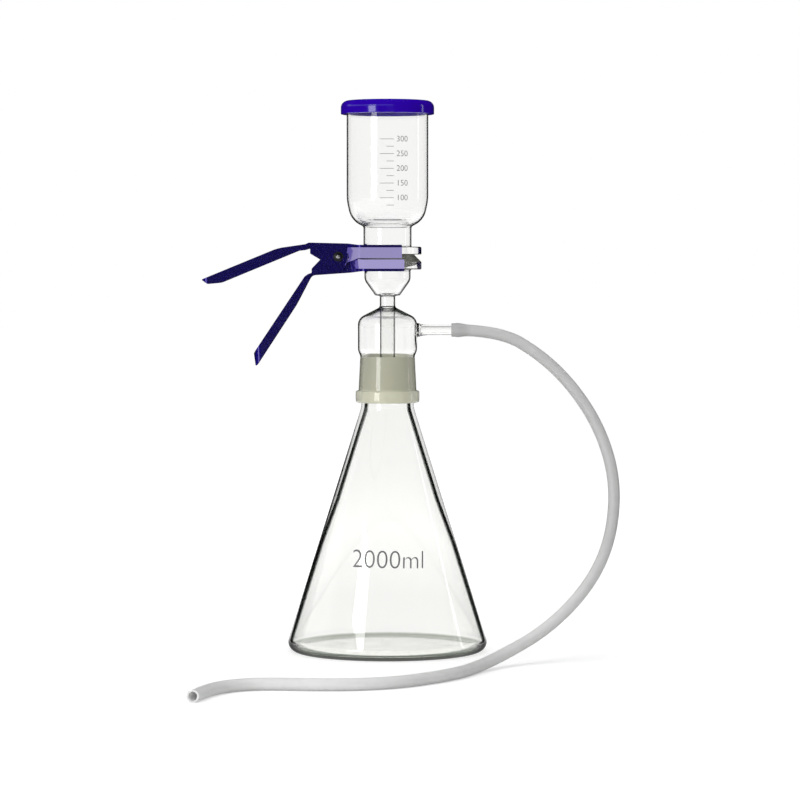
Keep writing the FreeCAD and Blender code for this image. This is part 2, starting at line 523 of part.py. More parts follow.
def make_jaw(name, reach, rise, seam, fork_reach, half_width, flare, bend, bend_round, ear_back, ear,
             grip_top, grip_lip):
    """One half of the clamp, pressed from sheet and drawn about the pin with its plate up.

    reach is the height of the plate's face that presses on the flange, rise the height of the bridge above
    the plate at the bend where the handle starts, seam the free edge of the fork's walls, half_width the
    outside of the ears and flare the place where the walls start to spread. ear is the lower outline of the
    ears, from the fork to their back; grip_top and grip_lip are the back and the free edge of the handle.
    """
    tip = "(Sizes.pivot_back + %s)" % fork_reach
    fork_top = "(%s + Sizes.sheet)" % reach
    bridge_top = "(%s + %s)" % (fork_top, rise)
    flare_end = "(%s + Sizes.flare_length)" % flare
    fork_half = "(Sizes.flange_radius + Sizes.flange_play + Sizes.sheet)"
    grip_end = "min(%s; %s)" % (grip_top[0][0], grip_lip[-1][0])
    beyond = "4 * Sizes.flange_radius"

    # side view: the whole outline, and the space under the sheet
    back = grip_top + [
        (back_of(bend), bridge_top, bend_round),
        (flare, fork_top + " + Sizes.bridge_front_rise", "Sizes.bridge_round"),
        (flare_end, fork_top, "Sizes.bridge_round"),
        (tip, fork_top, "Sizes.fork_end_round"),
    ]
    side = padded(name + "_side", "XZ_Plane",
                  back + [(tip, seam, "Sizes.fork_end_round")] + ear + grip_lip, beyond)
    far_below = "(0 - 2 * Sizes.pivot_back)"
    below = padded(name + "_below", "XZ_Plane", under_face(back, "Sizes.ear_half_width") + [
        ("%s + Sizes.pivot_back" % tip, far_below, "0"),
        ("%s - Sizes.pivot_back" % grip_end, far_below, "0")], beyond)

    def mirrored(left):
        return left + [(x, "0 - " + y, rounding) for x, y, rounding in reversed(left)]

    def ears(label, inset):
        half = "(%s - %s)" % (half_width, inset)
        corners = [(back_of(ear_back), half, "0"), ("%s + Sizes.flare_length / 2" % flare, half, "0")]
        return padded(name + label, "XY_Plane", mirrored(corners), beyond + " * 4")

    def grip(label, inset):
        half = "(Sizes.grip_half_width - %s)" % inset
        corners = [("%s + %s" % (grip_end, inset), half, "Sizes.grip_round - %s" % inset), ("0", half, "0")]
        return padded(name + label, "XY_Plane", mirrored(corners), beyond + " * 4")

    def fork(label, inset, shift, foot, lean):
        corners = [
            (flare + shift, "(%s - %s)" % (half_width, inset), "0"),
            (flare_end + shift, "(%s - %s)" % (fork_half, inset), "Sizes.flare_round"),
            ("%s + Sizes.flare_length" % tip, "(%s - %s)" % (fork_half, inset), "0"),
        ]
        body = padded(name + label, "XY_Plane", mirrored(corners), "Sizes.pivot_back", False, lean)
        body.Tip.Reversed = lean != "0"
        place(body, z=foot)
        return body

    # plan: ears, handle and fork; the fork's walls start upright and then lean out
    lean_top = "(%s - Sizes.sheet - Sizes.fork_upright)" % fork_top
    spread = "atan((%s - %s) / Sizes.flare_length)" % (fork_half, half_width)
    shift = " + Sizes.sheet * tan(%s / 2)" % spread
    plan = fused(name + "_plan", [
        ears("_ears", "0"),
        grip("_grip", "0"),
        fork("_fork_upright", "0", "", lean_top, "0"),
        fork("_fork_lean", "0", "", lean_top, "Sizes.fork_lean"),
    ])
    room = fused(name + "_room_plan", [
        ears("_ear_room", "Sizes.sheet"),
        grip("_grip_room", "Sizes.sheet"),
        fork("_fork_upright_room", "Sizes.sheet", shift, lean_top, "0"),
        fork("_fork_lean_room", "Sizes.sheet", shift, lean_top, "Sizes.fork_lean"),
    ])
    blank = boolean("Common", name + "_blank", side, plan)
    hollow = boolean("Common", name + "_hollow", below, room)
    shell = boolean("Cut", name + "_shell", blank, hollow)

    # the fork straddles the glass; the pin passes through both ears
    slot_radius = "(Sizes.funnel_neck_radius + Sizes.slot_play)"
    slot_foot = "0 - Sizes.pivot_back / 2"
    eye = rod(name + "_slot_eye", slot_radius, "Sizes.pivot_back", "z", x="Sizes.pivot_back", z=slot_foot)
    mouth = doc.addObject("Part::Box", name + "_slot_mouth")
    mouth.setExpression("Length", "Sizes.pivot_back")
    mouth.setExpression("Width", "2 * " + slot_radius)
    mouth.setExpression("Height", "Sizes.pivot_back")
    place(mouth, x="Sizes.pivot_back", y="0 - " + slot_radius, z=slot_foot)
    hole = rod(name + "_pin_hole", "Sizes.pin_radius + Sizes.pin_play", beyond, "y",
               y="0 - %s / 2" % beyond)
    cuts = fused(name + "_cuts", [eye, mouth, hole])
    return boolean("Cut", name, shell, cuts)


def make_clamp_upper():
    """Upper jaw: its ears lie outside and its handle slopes gently down."""
    bridge_top = "(%s - %s + Sizes.sheet + Sizes.upper_bridge_rise)" % (FUNNEL_FLANGE, PIVOT)
    seam = "(Sizes.fork_gap / 2 - Sizes.pivot_lift - Sizes.seam_drop)"
    ear_back = back_of("Sizes.upper_ear_back")
    lip_height = "(Sizes.upper_heel_rise + Sizes.upper_relief - Sizes.fillet_round)"
    jaw = make_jaw(
        "clamp_upper",
        reach="(%s - %s)" % (FUNNEL_FLANGE, PIVOT),
        rise="Sizes.upper_bridge_rise",
        seam=seam,
        fork_reach="Sizes.upper_fork_reach",
        half_width="Sizes.ear_half_width",
        flare="Sizes.upper_flare",
        bend="Sizes.upper_bend",
        bend_round="Sizes.upper_bend_round",
        ear_back="Sizes.upper_ear_back",
        ear=[
            ("Sizes.upper_ear_front", seam, "Sizes.wall_round"),
            ("Sizes.upper_neck_front", back_of("Sizes.upper_neck_drop"), "Sizes.neck_round"),
            ("2 * Sizes.pin_radius", back_of("Sizes.upper_ear_depth"), "Sizes.ear_round"),
            (back_of("3 * Sizes.pin_radius"), back_of("Sizes.upper_ear_depth"), "Sizes.ear_round"),
            (back_of("Sizes.upper_notch_back"), back_of("Sizes.upper_notch_drop"), "Sizes.notch_round"),
            (ear_back, "Sizes.upper_heel_rise", "Sizes.notch_round"),
            (ear_back, "Sizes.upper_heel_rise + Sizes.upper_relief", "Sizes.notch_round"),
        ],
        grip_top=[
            (back_of("Sizes.upper_tip_back"), back_of("Sizes.upper_tip_drop"), "Sizes.fork_end_round"),
            (back_of("Sizes.upper_knee_back"), "Sizes.upper_knee_rise", "Sizes.upper_knee_round"),
            (back_of("(Sizes.upper_bend + Sizes.upper_step_length)"), bridge_top + " - Sizes.upper_step",
             "Sizes.ear_round"),
        ],
        grip_lip=[
            (ear_back + " - Sizes.wall_round", lip_height, "Sizes.ear_round"),
            (ear_back + " - 2 * Sizes.wall_round", lip_height + " - Sizes.fine_round", "Sizes.ear_round"),
            (back_of("(Sizes.upper_lip_back - Sizes.upper_lip_turn)"),
             back_of("(Sizes.upper_lip_drop - Sizes.notch_round)"), "Sizes.bridge_round"),
            (back_of("Sizes.upper_lip_back"), back_of("Sizes.upper_lip_drop"), "Sizes.grip_lip_round"),
        ],
    )
    place(jaw, x="0 - Sizes.pivot_back", z=PIVOT)
    return jaw


def make_clamp_lower():
    """Lower jaw: turned over, with its ears inside those of the upper jaw and a steep handle."""
    seam = "(Sizes.fork_gap / 2 + Sizes.pivot_lift + Sizes.seam_drop)"
    ear_back = back_of("Sizes.lower_ear_back")
    relief = "(Sizes.lower_heel_drop + Sizes.lower_relief)"
    jaw = make_jaw(
        "clamp_lower",
        reach="(%s - %s)" % (PIVOT, BASE_FLANGE),
        rise="Sizes.lower_bridge_rise",
        seam=seam,
        fork_reach="Sizes.lower_fork_reach",
        half_width="(Sizes.ear_half_width - Sizes.sheet - Sizes.ear_play)",
        flare="Sizes.lower_flare",
        bend="Sizes.lower_bend",
        bend_round="Sizes.lower_bend_round",
        ear_back="Sizes.lower_ear_back",
        ear=[
            ("Sizes.lower_ear_front", seam, "Sizes.wall_round"),
            ("Sizes.lower_neck_front", "Sizes.lower_neck_drop", "Sizes.neck_round"),
            ("3 * Sizes.pin_radius", back_of("Sizes.lower_ear_rise"), "Sizes.ear_round"),
            (back_of("3 * Sizes.pin_radius"), back_of("Sizes.lower_ear_rise"), "Sizes.ear_round"),
            (ear_back, "Sizes.lower_heel_drop", "Sizes.notch_round"),
            (ear_back, relief, "Sizes.fine_round"),
        ],
        grip_top=[
            (back_of("Sizes.lower_tip_back"), "Sizes.lower_tip_drop", "Sizes.fork_end_round"),
            (back_of("Sizes.lower_knee_back"), "Sizes.lower_knee_drop", "Sizes.lower_knee_round"),
        ],
        grip_lip=[
            (ear_back + " - Sizes.grip_lip_round", relief + " + Sizes.step_round", "Sizes.fine_round"),
            (ear_back + " - 2 * Sizes.grip_lip_round", relief + " + Sizes.grip_lip_round",
             "Sizes.grip_lip_round"),
            (back_of("Sizes.lower_lip_back"), "Sizes.lower_lip_drop", "Sizes.grip_lip_round"),
        ],
    )
    jaw.Placement.Rotation = FreeCAD.Rotation(Vector(1, 0, 0), 180)
    place(jaw, x="0 - Sizes.pivot_back", z=PIVOT)
    return jaw


def make_clamp_pin():
    """Pin through all four ears, with rounded ends that stand a little out of the washers."""
    half = "(Sizes.ear_half_width + Sizes.washer_thickness + Sizes.washer_dome + Sizes.pin_proud)"
    pin = turned("clamp_pin", [
        ("0", "0 - " + half, "0"),
        ("Sizes.pin_radius", "0 - " + half, "Sizes.pin_radius / 2"),
        ("Sizes.pin_radius", half, "Sizes.pin_radius / 2"),
        ("0", half, "0"),
    ], "XY_Plane")
    place(pin, x="0 - Sizes.pivot_back", z=PIVOT)
    return pin


def make_washer(name, turn):
    """Push-on washer, dished so that its bore grips the pin."""
    washer = turned(name, [
        ("Sizes.pin_radius", "Sizes.ear_half_width + Sizes.washer_dome", "0"),
        ("Sizes.washer_radius - Sizes.washer_rim", "Sizes.ear_half_width", "0"),
        ("Sizes.washer_radius", "Sizes.ear_half_width", "0"),
        ("Sizes.washer_radius", "Sizes.ear_half_width + Sizes.washer_thickness",
         "Sizes.washer_thickness / 3"),
        ("Sizes.washer_radius - Sizes.washer_rim", "Sizes.ear_half_width + Sizes.washer_thickness", "0"),
        ("Sizes.pin_radius", "Sizes.ear_half_width + Sizes.washer_dome + Sizes.washer_thickness", "0"),
    ], "XY_Plane")
    washer.Placement.Rotation = FreeCAD.Rotation(Vector(0, 0, 1), turn)
    place(washer, x="0 - Sizes.pivot_back", z=PIVOT)
    return washer


def make_clamp_spring():
    """Torsion spring on the pin; its legs press the two bridges apart behind the pin."""
    wire = size("spring_wire") / 2
    mean = size("pin_radius") + size("spring_play") + wire
    out = size("spring_leg_reach")
    inside = size("spring_seat") + wire

    def bridge(jaw):
        """Height of a jaw's bridge over its fork's plate where the leg presses on it."""
        bend, flare, rise = size(jaw + "_bend"), size(jaw + "_flare"), size(jaw + "_bridge_rise")
        return rise - (rise - size("bridge_front_rise")) * (bend - out) / (bend + flare)

    upper_end = value("%s - %s" % (FUNNEL_FLANGE, PIVOT)) + bridge("upper") - inside
    lower_end = value("%s - %s" % (BASE_FLANGE, PIVOT)) - bridge("lower") + inside

    def leave(height, side):
        """Angle on the coil at which a straight leg to the given height leaves it."""
        distance = math.hypot(out, height)
        return math.atan2(height, -out) - side * math.acos(mean / distance)

    first = leave(lower_end, -1) - 2 * math.pi
    last = leave(upper_end, 1)
    sweep = (last - first) % (2 * math.pi) + 2 * math.pi * size("spring_turns")
    length = size("spring_pitch") * sweep / (2 * math.pi)

    def on_coil(angle, y):
        return Vector(mean * math.cos(angle), y, mean * math.sin(angle))

    helix = Part.makeHelix(size("spring_pitch"), length, mean)
    helix.rotate(Vector(0, 0, 0), Vector(0, 0, 1), math.degrees(first))
    helix.rotate(Vector(0, 0, 0), Vector(1, 0, 0), 90)
    helix.translate(Vector(0, length / 2, 0))
    start = on_coil(first, length / 2)
    end = on_coil(last, -length / 2)
    tips = []
    for foot, height, side in ((start, lower_end, 1), (end, upper_end, -1)):
        run = math.hypot(out + foot.x, height - foot.z)
        drift = side * run * size("spring_pitch") / (2 * math.pi * mean)
        tips.append(Vector(-out, foot.y + drift, height))
    path = Part.Wire([
        Part.LineSegment(tips[0], start).toShape(), helix.Edges[0], Part.LineSegment(end, tips[1]).toShape()])
    ring = Part.Wire(Part.makeCircle(wire, tips[0], start - tips[0]))
    spring = doc.addObject("Part::Feature", "clamp_spring")
    spring.Label = "clamp_spring"
    spring.Shape = path.makePipeShell([ring], True, True)
    spring.Placement = FreeCAD.Placement(Vector(-size("pivot_back"), 0, value(PIVOT)), FreeCAD.Rotation())
    return spring


# ------------------------------------------------------------------------------------------- hose
# Corners of the hose's route, from the side arm over and down to the bench and round in front of the
# flask to its open end. The first two take their height from the side arm.
HOSE_ROUTE = [
    (55, 0, 277), (96, 0, 277), (133, -6, 254.5), (161, -12, 226), (182.5, -18, 191), (194, -26, 151),
    (192, -35, 110), (180, -46, 76), (158, -61, 47.5), (130, -81, 25), (98, -111, 10.5), (76.5, -147, 5),
    (59, -193, 5), (35, -228, 5), (2, -261, 5), (-43, -272, 5), (-90, -264, 5), (-113, -268.5, 5),
    (-131, -286, 5), (-141, -311, 5), (-148, -338, 5),
]
ARC_SHARE = 0.45


def hose_path(points):
    """Straight runs joined by tangent arcs that take 0.45 of the shorter run at each corner."""
    edges = []
    radii = []
    here = points[0]
    for before, corner, after in zip(points, points[1:], points[2:]):
        back = before - corner
        ahead = after - corner
        reach = ARC_SHARE * min(back.Length, ahead.Length)
        turn = math.pi - back.getAngle(ahead)
        radius = reach / math.tan(turn / 2)
        back.normalize()
        ahead.normalize()
        entry = corner + back * reach
        leave = corner + ahead * reach
        middle = corner + (back + ahead).normalize() * (radius / math.cos(turn / 2) - radius)
        edges.append(Part.LineSegment(here, entry).toShape())
        edges.append(Part.Arc(entry, middle, leave).toShape())
        radii.append(radius)
        here = leave
    edges.append(Part.LineSegment(here, points[-1]).toShape())
    return Part.Wire(edges), radii


def make_hose():
    """Hose pushed over the barb, which widens its first stretch; the far end is cut off square."""
    arm_height = value(ARM_HEIGHT)
    points = [Vector(*corner) for corner in HOSE_ROUTE]
    points[0] = Vector(size("hose_start"), 0, arm_height)
    points[1] = Vector(HOSE_ROUTE[1][0], 0, arm_height)
    path, radii = hose_path(points)
    print("hose radii", [round(radius) for radius in radii], "length", round(path.Length, 1))
    ahead = (points[1] - points[0]).normalize()

    def tube(radius):
        ring = Part.Wire(Part.makeCircle(radius, points[0], ahead))
        return path.makePipeShell([ring], True, False)

    def cuff(wall):
        """The widened stretch, as a solid that follows the side arm and its barb at the given distance."""
        olive = size("arm_reach") - size("barb_length")
        widest = olive + size("barb_length") / 4
        narrow = size("arm_reach") + size("hose_cuff_taper")
        section = [
            (points[0].x, 0), (points[0].x, size("arm_radius") + wall), (olive, size("arm_radius") + wall),
            (widest, size("barb_radius") + wall), (size("arm_reach"), size("barb_tip_radius") + wall),
            (narrow, size("hose_bore") + wall - size("hose_fit")), (narrow, 0), (points[0].x, 0),
        ]
        face = Part.Face(Part.makePolygon([Vector(x, 0, arm_height + r) for x, r in section]))
        return face.revolve(Vector(0, 0, arm_height), Vector(1, 0, 0), 360)

    wall = size("hose_radius") - size("hose_bore")
    outside = tube(size("hose_radius")).fuse(cuff(size("hose_fit") + wall))
    inside = tube(size("hose_bore")).fuse(cuff(size("hose_fit")))
    section = math.pi * (size("hose_radius") ** 2 - size("hose_bore") ** 2)
    hose = doc.addObject("Part::Feature", "hose")
    hose.Label = "hose"
    hose.Shape = outside.cut(inside)
    print("hose volume", round(hose.Shape.Volume), "section times length", round(section * path.Length))
    return hose


# ------------------------------------------------------------------------------- build and export
parts = [
    make_flask(),
    make_filter_base(),
    make_frit_disc(),
    make_funnel(),
    make_lid(),
    make_clamp_upper(),
    make_clamp_lower(),
    make_clamp_pin(),
    make_washer("washer_front", 180),
    make_washer("washer_back", 0),
    make_clamp_spring(),
    make_hose(),
]
doc.recompute()

for item in doc.Objects:
    if "Invalid" in item.State or "Error" in item.State:
        raise RuntimeError("%s failed to build: %s" % (item.Label, item.State))
for part in parts:
    if part.Shape.isNull() or not part.Shape.isValid() or part.Shape.Volume <= 0:
        raise RuntimeError("%s has no valid shape" % part.Label)

os.makedirs("parts", exist_ok=True)
for part in parts:
    part.Shape.exportStep("parts/%s.step" % part.Label)
    print(part.Label, len(part.Shape.Solids), round(part.Shape.Volume / 1000, 2), "cm3")
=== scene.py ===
"""Vacuum filtration unit: finish of the glassware, clamp and hose, with camera and studio light."""
import math

import bmesh
import bpy
from mathutils import Matrix, Vector


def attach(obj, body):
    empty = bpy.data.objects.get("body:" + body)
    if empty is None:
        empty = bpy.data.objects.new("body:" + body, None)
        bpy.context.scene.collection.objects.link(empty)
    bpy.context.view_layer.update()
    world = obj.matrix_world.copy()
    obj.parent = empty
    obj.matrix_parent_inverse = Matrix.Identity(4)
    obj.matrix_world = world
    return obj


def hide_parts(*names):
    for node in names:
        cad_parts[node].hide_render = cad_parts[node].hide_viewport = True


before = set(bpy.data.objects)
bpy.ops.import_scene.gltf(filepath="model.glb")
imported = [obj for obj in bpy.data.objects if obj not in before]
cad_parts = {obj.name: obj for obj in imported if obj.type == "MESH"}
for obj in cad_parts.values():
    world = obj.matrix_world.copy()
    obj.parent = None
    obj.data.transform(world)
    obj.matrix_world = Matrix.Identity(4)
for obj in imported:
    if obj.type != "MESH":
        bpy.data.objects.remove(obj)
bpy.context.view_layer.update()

MM = 0.001
TURN_STEPS, SIDE_STEPS = 160, 64
SMOOTH_ANGLE = math.radians(35)

# Heights and radii of the glassware, in millimetres above the bench and from its axis.
JOINT_FOOT, JOINT_TOP = 214.3, 254.3
SHOULDER, STEM_FOOT, BULB_FOOT = 286.7, 296.3, 306.0
BASE_FLANGE, SEAT, FUNNEL_FLANGE, RIM = 328.7, 341.6, 348.2, 470.3
FLANGE_RADIUS = 29.2
FUNNEL_RADIUS, FUNNEL_WALL = 35.0, 2.4
FLASK_WALL, FLASK_FOOT_RADIUS, FLASK_SHOULDER, NECK_RADIUS = 2.6, 88.4, 210.5, 22.45
FLASK_CONE = (FLASK_FOOT_RADIUS - NECK_RADIUS) / FLASK_SHOULDER
JOINT_TAPER = 0.05
FRIT_DEPTH = 4
ARM_HEIGHT = 276.7
PIVOT = Vector((-0.042, 0, 0.33965))


# ------------------------------------------------------------------------------------- mesh helpers
def rounded(corners, fineness=math.radians(7)):
    """Points along a closed outline of (x, y, rounding) corners, with each rounding as an arc."""
    points = []
    count = len(corners)
    for i, (x, y, radius) in enumerate(corners):
        here = Vector((x, y))
        if radius <= 0:
            points.append(here)
            continue
        back = (Vector(corners[i - 1][:2]) - here).normalized()
        ahead = (Vector(corners[(i + 1) % count][:2]) - here).normalized()
        half = back.angle(ahead) / 2
        centre = here + (back + ahead).normalized() * (radius / math.sin(half))
        start = here + back * (radius / math.tan(half)) - centre
        sweep = math.pi - 2 * half
        side = 1 if back.x * ahead.y - back.y * ahead.x < 0 else -1
        steps = max(3, math.ceil(sweep / fineness))
        for k in range(steps + 1):
            points.append(centre + Matrix.Rotation(side * sweep * k / steps, 2) @ start)
    return points


def new_object(name, mesh):
    """Object for a mesh, smooth-shaded except at its sharp edges."""
    for polygon in mesh.polygons:
        polygon.use_smooth = True
    mesh.set_sharp_from_angle(angle=SMOOTH_ANGLE)
    item = bpy.data.objects.new(name, mesh)
    bpy.context.scene.collection.objects.link(item)
    return item


def mesh_from(name, bm):
    """Mesh of the finished bmesh, with its faces turned outwards."""
    bmesh.ops.recalc_face_normals(bm, faces=bm.faces)
    mesh = bpy.data.meshes.new(name)
    bm.to_mesh(mesh)
    bm.free()
    return mesh


def braced(points, inset=0.12):
    """The closed outline with a point just inside each end of its straight runs, which keeps them flat."""
    result = []
    for here, ahead in zip(points, points[1:] + points[:1]):
        run = ahead - here
        result.append(here)
        if run.length > 6 * inset:
            step = run.normalized() * inset
            result += [point for point in (here + step, ahead - step) if point.x > inset]
    return result


def lathe(name, points, axis="z", steps=TURN_STEPS, height=0.0):
    """Closed outline (radius, height) in millimetres turned about Z, or about X at the given height."""
    bm = bmesh.new()
    rings = []
    for radius, along in braced(points) if axis == "z" else points:
        ring = []
        for k in range(1 if radius < 1e-6 else steps):
            angle = 2 * math.pi * k / steps
            u, v = radius * math.cos(angle), radius * math.sin(angle)
            place = (u, v, along) if axis == "z" else (along, u, v + height)
            ring.append(bm.verts.new(Vector(place) * MM))
        rings.append(ring)
    for a, b in zip(rings, rings[1:] + rings[:1]):
        if len(a) == 1 and len(b) == 1:
            continue
        for k in range(steps):
            corners = [a[k % len(a)], a[(k + 1) % len(a)], b[(k + 1) % len(b)], b[k % len(b)]]
            bm.faces.new(list(dict.fromkeys(corners)))
    return mesh_from(name, bm)


def combined(base, tool, operation):
    """Applies a boolean to base and removes the tool."""
    cut = base.modifiers.new(operation, "BOOLEAN")
    cut.operation = operation
    cut.solver = "EXACT"
    cut.object = tool
    depsgraph = bpy.context.evaluated_depsgraph_get()
    mesh = bpy.data.meshes.new_from_object(base.evaluated_get(depsgraph))
    base.modifiers.clear()
    base.data = mesh
    bpy.data.objects.remove(tool)


def curve_mesh(curve):
    """Mesh that a curve evaluates to."""
    item = bpy.data.objects.new(curve.name, curve)
    bpy.context.scene.collection.objects.link(item)
    mesh = bpy.data.meshes.new_from_object(item.evaluated_get(bpy.context.evaluated_depsgraph_get()))
    bpy.data.objects.remove(item)
    return mesh


def bridge(bm, first, second):
    """Joins two rings of as many vertices with a band of faces."""
    count = len(first)
    for k in range(count):
        bm.faces.new((first[k], first[(k + 1) % count], second[(k + 1) % count], second[k]))


# ---------------------------------------------------------------------------------------- materials
def socket_name(keyword):
    """Name of a shader's socket, from a keyword that spells it with underscores."""
    return keyword.replace("_", " ")


def material(name, **sockets):
    """Material with a Principled shader whose sockets are set by name, and its node tree."""
    item = bpy.data.materials.new(name)
    item.use_nodes = True
    tree = item.node_tree
    shader = tree.nodes["Principled BSDF"]
    for socket, setting in sockets.items():
        shader.inputs[socket_name(socket)].default_value = setting
    return item, tree, shader


def feed(tree, shader, **sources):
    """Links outputs to the shader's sockets, which are given by name."""
    for socket, source in sources.items():
        tree.links.new(source, shader.inputs[socket_name(socket)])


def rgba(colour):
    """An RGB tuple or a level of grey, with its alpha."""
    return (*colour, 1) if isinstance(colour, tuple) else (colour, colour, colour, 1)


def put(tree, socket, setting):
    """Links an output to a socket, or sets the socket to an RGB tuple or a number."""
    if isinstance(setting, bpy.types.NodeSocket):
        tree.links.new(setting, socket)
    else:
        socket.default_value = rgba(setting) if isinstance(setting, tuple) else setting


def coordinates(tree, space="Object"):
    """Texture coordinates of that kind."""
    return tree.nodes.new("ShaderNodeTexCoord").outputs[space]


def separated(tree, vector):
    """The vector's X, Y and Z."""
    node = tree.nodes.new("ShaderNodeSeparateXYZ")
    tree.links.new(vector, node.inputs[0])
    return node.outputs


def vector_math(tree, operation, vector, other=None):
    """A Vector Math node between a socket and a fixed vector."""
    node = tree.nodes.new("ShaderNodeVectorMath")
    node.operation = operation
    tree.links.new(vector, node.inputs[0])
    if other:
        node.inputs[1].default_value = other
    return node.outputs["Value" if operation in ("LENGTH", "DOT_PRODUCT") else "Vector"]


def arithmetic(tree, operation, *values):
    """A Math node; each value is a socket or a number."""
    node = tree.nodes.new("ShaderNodeMath")
    node.operation = operation
    for socket, setting in zip(node.inputs, values):
        put(tree, socket, setting)
    return node.outputs[0]


def noise(tree, scale, detail=4.0, stretch=(1, 1, 1)):
    """Noise in object space, in grains to the metre."""
    mapping = tree.nodes.new("ShaderNodeMapping")
    mapping.inputs["Scale"].default_value = stretch
    texture = tree.nodes.new("ShaderNodeTexNoise")
    texture.inputs["Scale"].default_value = scale
    texture.inputs["Detail"].default_value = detail
    tree.links.new(coordinates(tree), mapping.inputs["Vector"])
    tree.links.new(mapping.outputs["Vector"], texture.inputs["Vector"])
    return texture.outputs["Fac"]


def shades(tree, factor, *stops):
    """Colour or grey that runs through (position, colour) stops."""
    node = tree.nodes.new("ShaderNodeValToRGB")
    elements = node.color_ramp.elements
    while len(elements) < len(stops):
        elements.new(0.5)
    for element, (position, colour) in zip(elements, stops):
        element.position = position
        element.color = rgba(colour)
    tree.links.new(factor, node.inputs["Fac"])
    return node.outputs["Color"]


def ramp(tree, factor, low, high, start=0.3, end=0.7):
    """Colour or grey that runs from low to high as the factor goes from start to end."""
    return shades(tree, factor, (start, low), (end, high))


def blended(tree, factor, low, high, kind="MIX"):
    """Colour between two colours, or one times the other for kind MULTIPLY."""
    node = tree.nodes.new("ShaderNodeMix")
    node.data_type = "RGBA"
    node.blend_type = kind
    for socket, setting in ((node.inputs["Factor"], factor), (node.inputs[6], low), (node.inputs[7], high)):
        put(tree, socket, setting)
    return node.outputs[2]


def multiplied(tree, first, second):
    """One colour times another."""
    return blended(tree, 1.0, first, second, "MULTIPLY")


def bump(tree, shader, height, strength, distance=0.0002):
    """Fine relief of the surface; the distance is in metres."""
    node = tree.nodes.new("ShaderNodeBump")
    node.inputs["Strength"].default_value = strength
    node.inputs["Distance"].default_value = distance
    tree.links.new(height, node.inputs["Height"])
    tree.links.new(node.outputs["Normal"], shader.inputs["Normal"])


def place_axis(tree, axis):
    """Object-space X, Y or Z in centimetres."""
    return arithmetic(tree, "MULTIPLY", separated(tree, coordinates(tree))[axis], 100.0)


def along(tree, axis, low, high, start, end, span):
    """Runs from low to high between two places on an axis; span, in centimetres too, has to hold both."""
    share = arithmetic(tree, "MULTIPLY", place_axis(tree, axis), 1 / span)
    return ramp(tree, share, low, high, start / span, end / span)


def depth_from_outline(tree):
    """How far in from its outline a wall turned about Z is seen, in centimetres."""
    weight = tree.nodes.new("ShaderNodeLayerWeight")
    weight.inputs["Blend"].default_value = 0.5
    cosine = arithmetic(tree, "SUBTRACT", 1.0, weight.outputs["Facing"])
    square = arithmetic(tree, "POWER", cosine, 2.0)
    sine = arithmetic(tree, "SQRT", arithmetic(tree, "SUBTRACT", 1.0, square))
    radius = vector_math(tree, "LENGTH", vector_math(tree, "MULTIPLY", coordinates(tree), (100, 100, 0)))
    return arithmetic(tree, "MULTIPLY", arithmetic(tree, "SUBTRACT", 1.0, sine), radius)


def towards_handles(tree):
    """How far an upright face is turned towards -X, 0 to 1; 0 on flat and leaning ones."""
    normal = separated(tree, coordinates(tree, "Normal"))
    turned = arithmetic(tree, "MULTIPLY", normal["X"], -1.0)
    slope = arithmetic(tree, "ABSOLUTE", normal["Z"])
    return arithmetic(tree, "MULTIPLY", turned, ramp(tree, slope, 1.0, 0.0, 0.05, 0.11))


def face_value(tree, name):
    """A number that mark_faces stores on each face."""
    node = tree.nodes.new("ShaderNodeAttribute")
    node.attribute_name = name
    return node.outputs["Fac"]


def clear_glass(name, inner, outline, floor=None, foot=None):
    """Blown glass with painted shade along its outline; inner is the tint of the inside of its wall.

    outline, floor and foot are lists of (centimetres, colour): in from the outline, and up from the
    bench for the inside and the outside of the foot. The floor's list takes the place of inner.
    The outline's and the foot's colours are painted shade, standing in for the dark edges that
    refraction and reflection show at the outline and foot of glass.
    """
    item, tree, shader = material(name, Roughness=0.0, IOR=GLASS_IOR, Transmission_Weight=1.0)
    depth = depth_from_outline(tree)
    if floor:
        # lower down the painted dark line lies right at the outline
        drawn_in = along(tree, "Z", 0.2, 0.0, 9.4, 13.2, 20)
        depth = arithmetic(tree, "ADD", depth, drawn_in)
        height = place_axis(tree, "Z")
        inner = shades(tree, height, *floor)
        # painted shade at the foot, by height above the bench, multiplied into the painted edge shade
        foot_shade = shades(tree, height, *foot)
        edge_and_foot_shade = multiplied(tree, shades(tree, depth, *outline), foot_shade)
        outer = blended(tree, ramp(tree, height, 0.0, 1.0, 0.1, 0.3), foot_shade, edge_and_foot_shade)
    else:
        # painted shade along the outline
        outer = shades(tree, depth, *outline)
    feed(tree, shader, Base_Color=blended(tree, face_value(tree, "outer"), inner, outer))
    bump(tree, shader, noise(tree, 14, 2, (1, 1, 0.35)), 0.05, 0.001)
    return item


def ground_glass(name, low, high):
    """Ground faces: matt and grey-green, with a fine grain; darker above the bead of the socket."""
    item, tree, shader = material(name, IOR=GLASS_IOR, Transmission_Weight=0.3)
    grain = noise(tree, 2600, 3)
    above_bead = along(tree, "Z", 1.0, 0.78, 22.3, 22.6, 50)
    feed(tree, shader, Base_Color=multiplied(tree, ramp(tree, grain, low, high), above_bead),
         Roughness=ramp(tree, grain, 0.42, 0.58))
    bump(tree, shader, grain, 0.35, 0.00005)
    return item


def sintered_glass():
    """The white frit, with a coarse grain."""
    item, tree, shader = material("sintered_glass", Roughness=0.85)
    grain = noise(tree, 1800, 5)
    feed(tree, shader, Base_Color=ramp(tree, grain, (0.62, 0.63, 0.6), (0.86, 0.87, 0.84)))
    bump(tree, shader, grain, 0.8)
    return item


